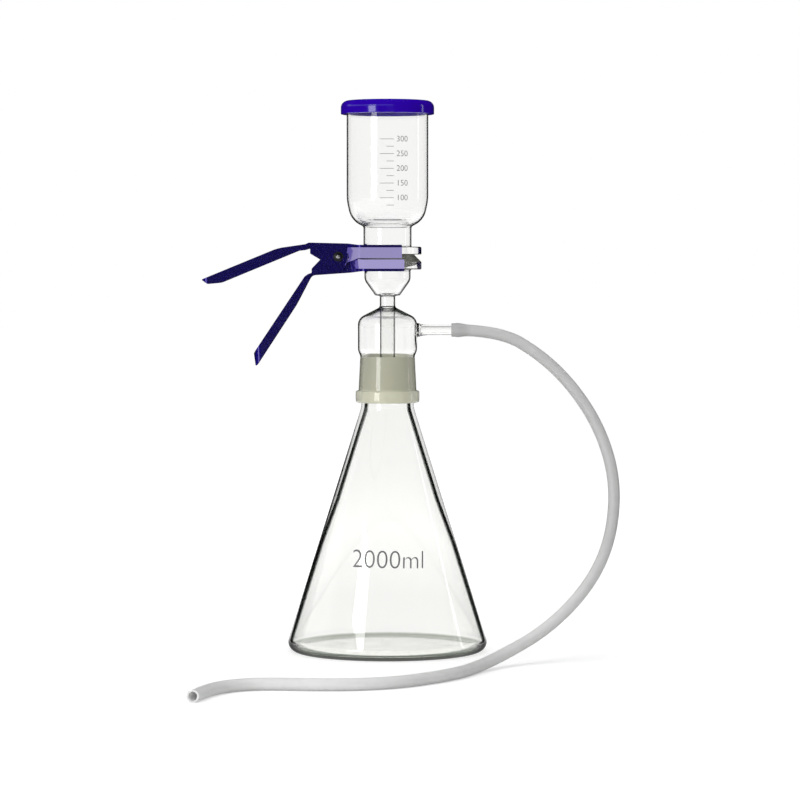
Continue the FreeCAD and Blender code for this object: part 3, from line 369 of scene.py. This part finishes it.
def lid_plastic():
    """Moulded blue plastic with a faint texture."""
    item, tree, shader = material("lid_plastic", IOR=1.49)
    cloud = noise(tree, 45, 3)
    feed(tree, shader, Base_Color=ramp(tree, cloud, (0.02, 0.0003, 0.32), (0.026, 0.0006, 0.37)),
         Roughness=ramp(tree, noise(tree, 900, 4), 0.08, 0.13))
    bump(tree, shader, noise(tree, 1500, 3), 0.06, 0.0001)
    return item


def anodised_aluminium():
    """Blue-violet anodised sheet with fine brushing lengthwise.

    Its violet sheen is dimmed on upright faces that are turned a little towards the handles: the
    rolled corners there, which would mirror the key lamp as a white stripe.
    """
    item, tree, shader = material("anodised_aluminium", IOR=7.0)
    bright, dimmed = (0.67, 0.6, 1.0), (0.04, 0.033, 0.075)
    sheen = shades(tree, towards_handles(tree), (0.05, bright), (0.1, dimmed), (0.6, dimmed), (0.7, bright))
    brushing = noise(tree, 700, 5, (0.05, 1, 1))
    feed(tree, shader, Specular_Tint=sheen,
         Base_Color=ramp(tree, brushing, (0.0055, 0.002, 0.125), (0.0065, 0.0025, 0.14)),
         Roughness=ramp(tree, brushing, 0.08, 0.1))
    bump(tree, shader, brushing, 0.004, 0.00005)
    return item


def steel(name, metallic, grain_scale, stretch, colours, roughness):
    """Steel whose colour and roughness both follow one grain."""
    item, tree, shader = material(name, Metallic=metallic)
    grain = noise(tree, grain_scale, 4, stretch)
    feed(tree, shader, Base_Color=ramp(tree, grain, *colours), Roughness=ramp(tree, grain, *roughness))
    return item


def silicone():
    """Milky translucent hose, with painted light: lighter near the bench and darker higher up."""
    item, tree, shader = material("silicone", IOR=1.41, Transmission_Weight=0.3)
    cloud = noise(tree, 120, 3)
    # painted light near the bench and painted shade higher up, standing in for how the light falls on the
    # hose
    painted_light_by_height = along(tree, "Z", 0.91, 0.68, 1, 10, 20)
    milky_and_painted_light = multiplied(tree, painted_light_by_height, ramp(tree, cloud, (0.95, 0.95, 0.947), (1.0, 1.0, 0.997)))
    # the barb shows through where the hose is stretched over it
    off_barb = along(tree, "X", 0.0, 1.0, 6.7, 7.2, 20)
    below = along(tree, "Z", 1.0, 0.0, 15, 20, 50)
    shown = arithmetic(tree, "MAXIMUM", off_barb, below)
    feed(tree, shader, Base_Color=multiplied(tree, milky_and_painted_light, ramp(tree, shown, 0.88, 1.0, 0.0, 1.0)),
         Roughness=ramp(tree, noise(tree, 600, 3), 0.32, 0.42))
    bump(tree, shader, noise(tree, 260, 3), 0.12)
    return item


def enamel():
    """Fired grey print of the graduations."""
    item, tree, shader = material("enamel", Roughness=0.5)
    feed(tree, shader, Base_Color=ramp(tree, noise(tree, 2200, 3), (0.1, 0.1, 0.105), (0.16, 0.16, 0.165)))
    return item


GLASS_IOR = 1.47
# Light is tinted by the square root of these at each face that it goes through.
THICK, THIN, WHITE = (0.955, 0.957, 0.943), (0.975, 0.976, 0.968), (1.0, 1.0, 1.0)
# The first two colours on the next line are painted shade for the dark edges of glass; FLOOR is the tint of
# the flask's inner floor.
BLACK_EDGE_SHADE, DARK_EDGE_SHADE, FLOOR = (0.0003, 0.0004, 0.0003), (0.003, 0.004, 0.003), (0.985, 0.99, 0.95)
# Painted shade along the flask's outline, by centimetres in from it: a pale rim, a black band, then the
# glass's tint.
FLASK_EDGE_SHADE = [
    (0.0, (0.5, 0.52, 0.5)), (0.05, (0.9, 0.91, 0.89)), (0.24, (0.85, 0.86, 0.84)), (0.28, BLACK_EDGE_SHADE),
    (0.49, BLACK_EDGE_SHADE), (0.56, (0.12, 0.13, 0.12)), (0.65, THICK),
]
FLASK_FLOOR = [(0.0, FLOOR), (0.45, FLOOR), (0.6, THICK)]
# Painted shade on the outside of the flask's foot, by centimetres up from the bench: dark at the bench,
# clear from 6.4 mm up.
FLASK_FOOT_SHADE = [
    (0.0, (0.1, 0.12, 0.1)), (0.08, (0.25, 0.28, 0.24)), (0.4, (0.2, 0.22, 0.18)),
    (0.52, (0.42, 0.44, 0.4)), (0.64, WHITE),
]
FLASK_GLASS = clear_glass("flask_glass", None, FLASK_EDGE_SHADE, FLASK_FLOOR, FLASK_FOOT_SHADE)
# The thin glass and the socket are given painted shade along their outlines as well.
THIN_GLASS = clear_glass("clear_glass", THIN, [(0.0, DARK_EDGE_SHADE), (0.1, DARK_EDGE_SHADE), (0.2, THIN)])
SOCKET_GLASS = clear_glass("socket_glass", THIN, [(0.0, (0.3, 0.31, 0.27)), (0.35, THIN)])
GROUND = ground_glass("ground_glass", (0.58, 0.58, 0.45), (0.68, 0.68, 0.55))
# The seats of the flanges are ground glass painted dark: painted shade for the dim seat between the clamp's
# fork walls.
SHADED_SEAT_GROUND = ground_glass("ground_seat_painted_shade", (0.13, 0.13, 0.11), (0.2, 0.2, 0.175))
SINTER = sintered_glass()
LID = lid_plastic()
ANODISED = anodised_aluminium()
STEEL = steel("bright_steel", 1.0, 900, (1, 0.2, 1),
              ((0.5, 0.5, 0.51), (0.66, 0.66, 0.67)), (0.18, 0.32))
BLACK = steel("blackened_steel", 0.6, 1200, (1, 1, 1),
              ((0.008, 0.008, 0.01), (0.02, 0.02, 0.024)), (0.25, 0.4))
SILICONE = silicone()
ENAMEL = enamel()


def finish_piece(item, slot, body, *nodes):
    """Says which CAD nodes a piece stands for, by hiding them, and the body that it rides on; slot is not
    used.
    """
    if nodes:
        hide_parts(*nodes)
    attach(item, body)


# ---------------------------------------------------------------------------------------- glassware
def mark_faces(item, look, is_outer, is_ground, is_seat=None, is_socket=None):
    """Stores which faces are the outside of a wall, and gives ground, seat and socket their own looks; the
    seat's is painted dark, as shade.

    The four tests take a face's centre in millimetres; is_outer and is_ground also take whether it
    looks away from the axis, and is_seat its normal.
    """
    surfaces = (look, GROUND, SHADED_SEAT_GROUND, SOCKET_GLASS)
    item.data.materials.clear()
    for surface in surfaces:
        item.data.materials.append(surface)
    outer = item.data.attributes.new("outer", "FLOAT", "FACE")
    for polygon in item.data.polygons:
        centre = polygon.center / MM
        # flat floors, whose normals only lean by rounding errors, don't count as outward
        outward = polygon.normal.xy.dot(centre.xy) > 0.01 * centre.xy.length
        outer.data[polygon.index].value = 1.0 if is_outer(centre, outward) else 0.0
        surface = GROUND if is_ground(centre, outward) else look
        if is_seat and is_seat(centre, polygon.normal):
            surface = SHADED_SEAT_GROUND
        if is_socket and is_socket(centre):
            surface = SOCKET_GLASS
        polygon.material_index = surfaces.index(surface)


def make_flask():
    """Conical flask with a flat floor; its neck is ground on the outside for the joint."""
    floor = 4.0
    mouth = NECK_RADIUS - JOINT_TAPER * (JOINT_TOP - 1 - JOINT_FOOT)
    lip = FLASK_WALL * 0.45
    inner_neck = NECK_RADIUS - FLASK_WALL
    points = rounded([
        (0, 0, 0), (FLASK_FOOT_RADIUS, 0, 8), (NECK_RADIUS, FLASK_SHOULDER, 16),
        (NECK_RADIUS, JOINT_FOOT, 0), (mouth, JOINT_TOP - 1, lip),
        (mouth - FLASK_WALL, JOINT_TOP - 1, lip), (inner_neck, JOINT_FOOT, 0),
        (inner_neck, FLASK_SHOULDER, 16 + FLASK_WALL),
        (FLASK_FOOT_RADIUS - FLASK_WALL - floor * FLASK_CONE, floor, 8 - FLASK_WALL), (0, floor, 0),
    ])
    flask = new_object("flask_glass", lathe("flask_glass", points))
    mark_faces(flask, FLASK_GLASS, lambda centre, outward: outward,
               lambda centre, outward: outward and JOINT_FOOT + 1 < centre.z < JOINT_TOP - 3)
    finish_piece(flask, "glass", "glassware", "flask")
    return flask


def make_filter_base():
    """Socket, shoulder, stem, bulb and flange turned in one, with the side arm joined on."""
    adapter, wall, stem, bore = 25.4, 2.2, 6.6, 5.1
    slope = (STEM_FOOT - SHOULDER) / (adapter - stem)
    large, small, socket, bead = 22.5, 20.5, 2.9, 10.3
    bead_top = JOINT_FOOT + bead
    at_bead = large - JOINT_TAPER * bead
    bulb, bulb_wall, bulb_foot = 19.8, 1.8, 10.6
    bulb_corner = BASE_FLANGE - 9.2
    flange_edge, seat_edge = BASE_FLANGE + 6.4, 22.8
    frit, ledge = 18, 16.5
    drip_tip = 224
    points = rounded([
        (27.4, JOINT_FOOT, 2.4), (27.4, bead_top, 1.4), (at_bead + socket, bead_top, 1),
        (small + socket, JOINT_TOP, 2), (adapter, JOINT_TOP + 5, 9), (adapter, SHOULDER, 9),
        (stem, STEM_FOOT, 3), (stem, BULB_FOOT, 1),
        (bulb_foot, BULB_FOOT + 0.5, 1.5), (bulb, bulb_corner, 9), (bulb, BASE_FLANGE, 1.5),
        (FLANGE_RADIUS, BASE_FLANGE, 1.2), (FLANGE_RADIUS, flange_edge, 1.2), (seat_edge, SEAT, 0.5),
        (frit, SEAT, 0), (frit, SEAT - FRIT_DEPTH, 0), (ledge, SEAT - FRIT_DEPTH, 0.6),
        (bulb - bulb_wall, BASE_FLANGE + 1, 3), (bulb - bulb_wall, bulb_corner, 9 - bulb_wall),
        (bulb_foot - bulb_wall, BULB_FOOT + 0.5 + bulb_wall, 1), (bore, BULB_FOOT + bulb_wall, 1),
        (bore, drip_tip, 0.6), (stem, drip_tip, 0.6), (stem, STEM_FOOT - 3, 1.5),
        (adapter - wall, SHOULDER + wall * slope - 3, 8), (adapter - wall, JOINT_TOP + 5, 8),
        (small, JOINT_TOP, 1.5), (large, JOINT_FOOT, 0.8),
    ])
    vessel = new_object("base_glass", lathe("base_glass", points))
    root = adapter - wall * 0.7
    arm_bore, arm_neck, arm_tip = 2.6, 35, 68
    arm_points = rounded([
        (arm_bore, root, 0), (6.6, root, 0), (4.9, (adapter + arm_neck) / 2, 6), (4.3, arm_neck, 0),
        (4.3, 58, 2), (4.7, 60.5, 2), (3.6, arm_tip, 0.4), (arm_bore, arm_tip, 0),
    ])
    arm = new_object("arm", lathe("arm", arm_points, "x", SIDE_STEPS, ARM_HEIGHT))
    passage_points = [Vector(p) for p in ((0, 19), (arm_bore, 19), (arm_bore, 32), (0, 32))]
    passage = new_object("passage", lathe("passage", passage_points, "x", SIDE_STEPS, ARM_HEIGHT))
    combined(vessel, arm, "UNION")
    combined(vessel, passage, "DIFFERENCE")

    def in_socket(centre, outward):
        return 20 < centre.xy.length < 23 and JOINT_FOOT + 0.5 < centre.z < JOINT_TOP - 0.5

    mark_faces(vessel, THIN_GLASS, lambda centre, outward: outward and centre.xy.length < adapter + 1,
               in_socket, is_seat=lambda centre, normal: centre.z > BASE_FLANGE + 6 and normal.z > 0.3,
               is_socket=lambda centre: centre.z < JOINT_TOP and centre.xy.length > 24)
    finish_piece(vessel, "glass", "glassware", "filter_base")
    return vessel


def make_frit():
    """Disc in the mouth of the base, on which the membrane lies."""
    foot, radius = SEAT - FRIT_DEPTH, 17.97
    points = rounded([(0, foot, 0), (radius, foot, 0.2), (radius, SEAT, 0.2), (0, SEAT, 0)])
    frit = new_object("frit_sinter", lathe("frit_sinter", points))
    frit.data.materials.append(SINTER)
    finish_piece(frit, "sintered_glass", "glassware", "frit_disc")


def make_funnel():
    """Bowl with its neck and ground flange."""
    neck, shoulder = 20.6, 31.2
    bore = neck - FUNNEL_WALL
    floor = SEAT + 24
    corner = floor + 5
    side = corner + 17.5
    lip = FUNNEL_WALL * 0.45
    inner = FUNNEL_RADIUS - FUNNEL_WALL
    points = rounded([
        (FLANGE_RADIUS, SEAT, 0.8), (FLANGE_RADIUS, FUNNEL_FLANGE, 1.2), (neck, FUNNEL_FLANGE, 0.8),
        (neck, floor, 2.5), (shoulder, corner, 18), (FUNNEL_RADIUS, side, 40),
        (FUNNEL_RADIUS, RIM, lip), (inner, RIM, lip),
        (inner, side, 40), (shoulder - FUNNEL_WALL, corner + 1.9, 18 - FUNNEL_WALL),
        (bore, floor + 1.9, 2.5 + FUNNEL_WALL), (bore, SEAT, 0.6),
    ])
    funnel = new_object("funnel_glass", lathe("funnel_glass", points))
    mark_faces(funnel, THIN_GLASS, lambda centre, outward: outward, lambda centre, outward: False,
               is_seat=lambda centre, normal: centre.z < SEAT + 0.5 and normal.z < -0.5)
    finish_piece(funnel, "glass", "glassware", "funnel")
    return funnel


def make_lid():
    """Lid with a skirt outside the funnel's rim and a ring inside it."""
    plug = FUNNEL_RADIUS - FUNNEL_WALL - 0.3
    plug_inside, plug_foot = plug - 2.2, RIM - 6
    inside, outside, skirt_foot = 37, 40, RIM - 8.7
    edge = RIM + 2.9
    points = rounded([
        (0, RIM, 0), (plug_inside, RIM, 0.8), (plug_inside, plug_foot, 0.6), (plug, plug_foot, 0.6),
        (plug, RIM, 0), (inside, RIM, 0.8), (inside, skirt_foot, 0.4), (outside, skirt_foot, 0.6),
        (outside, edge, 6), (0, edge + 0.5, 0),
    ])
    lid = new_object("lid_moulding", lathe("lid_moulding", points))
    lid.data.materials.append(LID)
    finish_piece(lid, "lid_plastic", "glassware", "lid")


# ----------------------------------------------------------------------------------------- markings
def on_wall(bm, radius_at):
    """Wraps flat shapes (x, 0, z) in metres round the front of the glass; their depth becomes radius."""
    for vertex in bm.verts:
        across, depth, height = vertex.co
        radius = radius_at(height) + depth
        angle = across / radius
        vertex.co = (radius * math.sin(angle), -radius * math.cos(angle), height)


def text_shapes(bm, body, size, centre, thickness, weight=0.0, tilt=0.0):
    """Adds a line of text, centred at (x, z) in metres."""
    curve = bpy.data.curves.new("text", "FONT")
    curve.body = body
    curve.align_x = "CENTER"
    curve.align_y = "CENTER"
    curve.offset = weight
    curve.resolution_u = 6
    curve.extrude = thickness / size / 2
    mesh = curve_mesh(curve)
    turn = Matrix.Rotation(math.radians(90), 4, "X")
    place = Matrix.Translation((centre[0], 0, centre[1])) @ Matrix.Rotation(tilt, 4, "Y")
    mesh.transform(place @ turn @ Matrix.Scale(size, 4))
    bm.from_mesh(mesh)


def strip(bm, x1, x2, z, height, thickness, steps=12):
    """Adds a thin raised line from x1 to x2 at height z."""
    sections = []
    for k in range(steps + 1):
        x = x1 + (x2 - x1) * k / steps
        sections.append([bm.verts.new((x, y, z + dz)) for y, dz in (
            (-thickness / 2, -height / 2), (-thickness / 2, height / 2),
            (thickness / 2, height / 2), (thickness / 2, -height / 2))])
    for a, b in zip(sections, sections[1:]):
        bridge(bm, a, b)
    bm.faces.new(sections[0])
    bm.faces.new(reversed(sections[-1]))


def make_scale():
    """Graduations of the funnel: a long line and a number for each fifty, a short line between."""
    thickness = 0.06 * MM
    bm = bmesh.new()
    top, step = 439.3, 12.45
    long_start, short_start, end, line = -6.5 * MM, -0.9 * MM, 5.4 * MM, 0.4 * MM
    for k in range(5):
        z = (top - k * step) * MM
        strip(bm, long_start, end, z, line, thickness)
        strip(bm, short_start, end, z - step / 2 * MM, line, thickness)
        text_shapes(bm, str(300 - 50 * k), 7.0 * MM, (12.8 * MM, z), thickness, -0.01)
    on_wall(bm, lambda height: (FUNNEL_RADIUS + 0.01) * MM + thickness / 2)
    scale = new_object("funnel_scale", mesh_from("funnel_scale", bm))
    scale.data.materials.append(ENAMEL)
    finish_piece(scale, "glass", "glassware")


def make_capacity_mark():
    """Capacity on the front of the flask, printed a little askew."""
    thickness = 0.08 * MM
    lift = 0.03 * MM
    bm = bmesh.new()
    text_shapes(bm, "2000ml", 21.6 * MM, (0.8 * MM, 83.4 * MM), thickness, -0.014, math.radians(1.2))
    on_wall(bm, lambda height: FLASK_FOOT_RADIUS * MM - height * FLASK_CONE + lift + thickness / 2)
    mark = new_object("capacity_mark", mesh_from("capacity_mark", bm))
    mark.data.materials.append(ENAMEL)
    finish_piece(mark, "glass", "glassware")


# -------------------------------------------------------------------------------------------- clamp
def make_spring():
    """Torsion spring: the coil stays on the pin and each leg goes with its jaw."""
    wire, mean, pitch, turns, out = 0.8, 2.95, 1.9, 6.0, 15.0
    web_drop, web_rise = 3.035, 1.751
    inside = 0.1 + wire
    pivot = PIVOT.z / MM
    ends = {"lower": BASE_FLANGE - pivot - web_drop + inside,
            "upper": FUNNEL_FLANGE - pivot + web_rise - inside}

    def leave(height, side):
        """Angle at which the wire leaves the coil towards a leg's end at that height."""
        distance = math.hypot(out, height)
        return math.atan2(height, -out) - side * math.acos(mean / distance)

    first = leave(ends["lower"], -1) - 2 * math.pi
    last = leave(ends["upper"], 1)
    sweep = (last - first) % (2 * math.pi) + 2 * math.pi * turns
    length = pitch * sweep / (2 * math.pi)
    steps = 220
    coil = []
    for k in range(steps + 1):
        angle = first + sweep * k / steps
        y = length / 2 - length * k / steps
        coil.append(Vector((mean * math.cos(angle), y, mean * math.sin(angle))))
    legs = {}
    for name, start, side in (("lower", coil[0], 1), ("upper", coil[-1], -1)):
        run = math.hypot(out + start.x, ends[name] - start.z)
        drift = side * run * pitch / (2 * math.pi * mean)
        legs[name] = [start, Vector((-out, start.y + drift, ends[name]))]
    finish_piece(wire_piece("spring_coil", coil, wire), "steel", "glassware", "clamp_spring")
    for side in ("upper", "lower"):
        leg = wire_piece("spring_leg_" + side, legs[side], wire)
        finish_piece(leg, "steel", side + "_jaw", "clamp_spring")


def wire_piece(name, points, radius):
    """Round wire along points given in millimetres from the clamp's pin."""
    places = [PIVOT + point * MM for point in points]
    item = new_object(name, tube_mesh(name, places, [radius * MM] * len(places), sides=16))
    item.data.materials.append(STEEL)
    return item


def frames_along(places):
    """Each point with two normals to the line there, carried along without twist."""
    frames = []
    normal = None
    for i, here in enumerate(places):
        tangent = (places[min(i + 1, len(places) - 1)] - places[max(i - 1, 0)]).normalized()
        if normal is None:
            normal = tangent.orthogonal().normalized()
        normal = (normal - tangent * normal.dot(tangent)).normalized()
        frames.append((here, normal, tangent.cross(normal)))
    return frames


def tube_mesh(name, places, radii, bores=None, sides=32):
    """Round bar along the points, or a tube where bores gives its inner radii."""
    bm = bmesh.new()
    frames = frames_along(places)

    def skin(sizes):
        """Makes a skin of those radii round the points and returns its end rings."""
        rings = []
        for (here, u, v), size in zip(frames, sizes):
            rings.append([bm.verts.new(here + (u * math.cos(a) + v * math.sin(a)) * size)
                          for a in (2 * math.pi * k / sides for k in range(sides))])
        for a, b in zip(rings, rings[1:]):
            bridge(bm, a, b)
        return rings[0], rings[-1]

    outer = skin(radii)
    if bores is None:
        for ring in outer:
            bm.faces.new(ring)
    else:
        inner = skin(bores)
        for a, b in zip(outer, inner):
            bridge(bm, a, b)
    return mesh_from(name, bm)


# --------------------------------------------------------------------------------------------- hose
# Corners of the hose's route in metres, from the side arm to its open end on the bench.
HOSE_ROUTE = [
    (0.055, 0, 0.2767), (0.096, 0, 0.2767), (0.133, -0.006, 0.2545), (0.161, -0.012, 0.226),
    (0.1825, -0.018, 0.191), (0.194, -0.026, 0.151), (0.192, -0.035, 0.110), (0.180, -0.046, 0.076),
    (0.158, -0.061, 0.0475), (0.130, -0.081, 0.025), (0.098, -0.111, 0.0105), (0.0765, -0.147, 0.005),
    (0.059, -0.193, 0.005), (0.035, -0.228, 0.005), (0.002, -0.261, 0.005), (-0.043, -0.272, 0.005),
    (-0.090, -0.264, 0.005), (-0.113, -0.2685, 0.005), (-0.131, -0.286, 0.005), (-0.141, -0.311, 0.005),
    (-0.148, -0.338, 0.005),
]
HOSE_RADIUS, HOSE_BORE = 5.0, 3.5
# Millimetres that the barb adds to the hose's radii, by place on the side arm in metres.
HOSE_CUFF = [(0.055, 0.82), (0.058, 0.82), (0.0605, 1.22), (0.068, 0.12), (0.072, 0.0)]
# The route is on the side arm above this height and before this X, in metres.
ARM_LEVEL, ARM_END = 0.27, 0.08


def route_points():
    """The smooth centreline of the hose, read from its spline."""
    curve = bpy.data.curves.new("hose_route", "CURVE")
    curve.dimensions = "3D"
    curve.resolution_u = 12
    spline = curve.splines.new("NURBS")
    spline.points.add(len(HOSE_ROUTE) - 1)
    for point, corner in zip(spline.points, HOSE_ROUTE):
        point.co = (*corner, 1)
    spline.order_u = 3
    spline.use_endpoint_u = True
    return [vertex.co.copy() for vertex in curve_mesh(curve).vertices]


def swell(place):
    """Millimetres that the barb adds to the hose's radii at a place on its route."""
    if place.z < ARM_LEVEL or place.x > HOSE_CUFF[-1][0]:
        return 0.0
    for (x1, s1), (x2, s2) in zip(HOSE_CUFF, HOSE_CUFF[1:]):
        if x1 <= place.x <= x2:
            return s1 + (s2 - s1) * (place.x - x1) / (x2 - x1)
    return HOSE_CUFF[0][1]


def make_hose():
    """The hose, with finer steps along the side arm, where the barb widens it."""
    route = route_points()
    head = [place for place in route if place.z > ARM_LEVEL and place.x < ARM_END]
    tail = route[len(head):]
    places = []
    for a, b in zip(head, head[1:] + tail[:1]):
        places += [a.lerp(b, k / 4) for k in range(4)]
    places += tail
    extra = [swell(place) for place in places]
    radii = [(HOSE_RADIUS + e) * MM for e in extra]
    bores = [(HOSE_BORE + e) * MM for e in extra]
    hose = new_object("hose_tube", tube_mesh("hose_tube", places, radii, bores, 48))
    hose.data.materials.append(SILICONE)
    finish_piece(hose, "silicone", "glassware", "hose")


# -------------------------------------------------------------------------------------------- stage
# Compass direction of the large soft box, and the cosines between which its side of the room ends.
SOFTBOX_SIDE, SOFTBOX_EDGE = (-0.8, -0.6, 0), (0.38, 0.42)


def make_camera():
    """Long lens at the height of the base's flange, aimed a little down."""
    camera = bpy.data.cameras.new("camera")
    camera.sensor_width = 36
    camera.lens = 146.79
    camera.clip_end = 100
    item = bpy.data.objects.new("camera", camera)
    item.location = (0, -2.805, 0.33)
    item.rotation_euler = Vector((0.00383, 1, -0.04047)).to_track_quat("-Z", "Y").to_euler()
    bpy.context.scene.collection.objects.link(item)
    bpy.context.scene.camera = item


def make_lamp(name, place, aim, width, height, power, mirrored=True):
    """Area lamp of that size in metres and power in watts; reflections show it where mirrored."""
    lamp = bpy.data.lights.new(name, "AREA")
    lamp.shape = "RECTANGLE"
    lamp.size = width
    lamp.size_y = height
    lamp.energy = power
    item = bpy.data.objects.new(name, lamp)
    item.location = place
    item.rotation_euler = (Vector(aim) - Vector(place)).to_track_quat("-Z", "Y").to_euler()
    item.visible_camera = False
    item.visible_transmission = False
    item.visible_glossy = mirrored
    bpy.context.scene.collection.objects.link(item)


def ray(tree, kind):
    """1 for rays of that kind, else 0."""
    return tree.nodes.new("ShaderNodeLightPath").outputs["Is %s Ray" % kind]


def mixed(tree, factor, low, high):
    """Shader between two shaders."""
    node = tree.nodes.new("ShaderNodeMixShader")
    for socket, source in zip(node.inputs, (factor, low, high)):
        tree.links.new(source, socket)
    return node.outputs[0]


def towards_softbox(tree, direction):
    """Cosine of the compass angle between a direction and the large soft box at the front left."""
    flat = vector_math(tree, "MULTIPLY", direction, (1, 1, 0))
    return vector_math(tree, "DOT_PRODUCT", vector_math(tree, "NORMALIZE", flat), SOFTBOX_SIDE)


def make_world():
    """White for the camera and behind glass, banded for reflections, and plain grey for matt surfaces."""
    world = bpy.data.worlds.new("studio")
    bpy.context.scene.world = world
    world.use_nodes = True
    tree = world.node_tree
    tree.nodes.remove(tree.nodes["Background"])

    def sky(colour):
        node = tree.nodes.new("ShaderNodeBackground")
        put(tree, node.inputs["Color"], colour)
        return node.outputs[0]

    direction = coordinates(tree, "Generated")
    rise = separated(tree, direction)["Z"]
    towards = towards_softbox(tree, direction)
    dark, lit = 0.008, 0.8
    band = shades(tree, rise, (0.11, dark), (0.135, lit), (0.33, lit), (0.37, dark))
    mirrored = sky(blended(tree, ramp(tree, towards, 0.0, 1.0, *SOFTBOX_EDGE), (dark,) * 3, band))
    behind_glass = sky(ramp(tree, rise, 1.0, 0.2, 0.42, 0.7))
    facing = arithmetic(tree, "ADD", arithmetic(tree, "MULTIPLY", towards, 0.5), 0.5)
    light = sky(ramp(tree, facing, 0.24, 0.84, 0.0, 1.0))
    for kind, source in (("Glossy", mirrored), ("Transmission", behind_glass), ("Camera", sky(WHITE))):
        light = mixed(tree, ray(tree, kind), light, source)
    tree.links.new(light, tree.nodes["World Output"].inputs[0])


def make_floor():
    """Matt bench that glows for the camera and behind glass, and shows levels of its own in reflections;
    both glows are dimmer close to the glassware, as a painted shadow.
    """
    bm = bmesh.new()
    bmesh.ops.create_grid(bm, x_segments=2, y_segments=2, size=15)
    floor = new_object("floor", mesh_from("floor", bm))
    item, tree, shader = material("pale_floor", Roughness=0.9, Base_Color=(0.7, 0.7, 0.7, 1))
    # a quarter of the distance from the axis, in metres, so that it fits a ramp
    distance = arithmetic(tree, "MULTIPLY", vector_math(tree, "LENGTH", coordinates(tree)), 0.25)
    direct = arithmetic(tree, "MAXIMUM", ray(tree, "Camera"), ray(tree, "Transmission"))
    mirrored = arithmetic(tree, "MULTIPLY", ray(tree, "Glossy"), arithmetic(tree, "SUBTRACT", 1.0, direct))

    def glow(strength):
        node = tree.nodes.new("ShaderNodeEmission")
        tree.links.new(strength, node.inputs["Strength"])
        return node.outputs[0]

    bench = tree.nodes.new("ShaderNodeAddShader")
    tree.links.new(shader.outputs[0], bench.inputs[0])
    # the glow is weaker near the glassware, a painted shadow round it, and stronger far out, painted light
    # where the lamps reach the bench less
    shown = arithmetic(tree, "MULTIPLY", direct, ramp(tree, distance, 0.42, 0.68, 0.12, 0.35))
    tree.links.new(glow(shown), bench.inputs[1])
    # in reflections the bench is dark right round the glassware, a painted shadow, then glows lit out
    # towards the soft box and dark beyond
    shadow_level, lit, dark = 0.2, 0.95, 0.01
    box = shades(tree, distance, (0.025, shadow_level), (0.1, lit), (0.66, lit), (0.74, dark))
    around = shades(tree, distance, (0.025, shadow_level), (0.1, lit), (0.2, lit), (0.25, dark))
    side = ramp(tree, towards_softbox(tree, coordinates(tree)), 0.0, 1.0, *SOFTBOX_EDGE)
    surface = mixed(tree, mirrored, bench.outputs[0], glow(blended(tree, side, around, box)))
    tree.links.new(surface, tree.nodes["Material Output"].inputs["Surface"])
    floor.data.materials.append(item)


make_camera()
make_world()
make_floor()
make_lamp("key", (-1.08, -1.38, 0.38), (0, 0, 0.38), 0.55, 0.62, 7)
make_lamp("window", (-1.85, -2.36, 1.57), (0, 0, 0.03), 0.95, 0.2, 5)
make_lamp("strip", (1.59, 0.17, 0.55), (0, 0, 0.55), 0.11, 1.0, 1.1)
make_lamp("fill", (0.3, -2.3, 0.6), (0, 0, 0.3), 0.6, 1.4, 11, mirrored=False)
make_lamp("top", (0, 0.3, 2.0), (0, 0, 0.2), 1.2, 1.2, 15, mirrored=False)
bpy.context.scene.view_settings.view_transform = "Standard"

make_hose()
glassware = [make_flask(), make_filter_base(), make_funnel()]
make_frit()
make_lid()
make_scale()
make_capacity_mark()
make_spring()
for item in glassware:
    item.visible_shadow = False
for node, look in (("clamp_upper", ANODISED), ("clamp_lower", ANODISED), ("clamp_pin", STEEL),
                   ("washer_front", BLACK), ("washer_back", BLACK)):
    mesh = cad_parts[node].data
    mesh.materials.clear()
    mesh.materials.append(look)
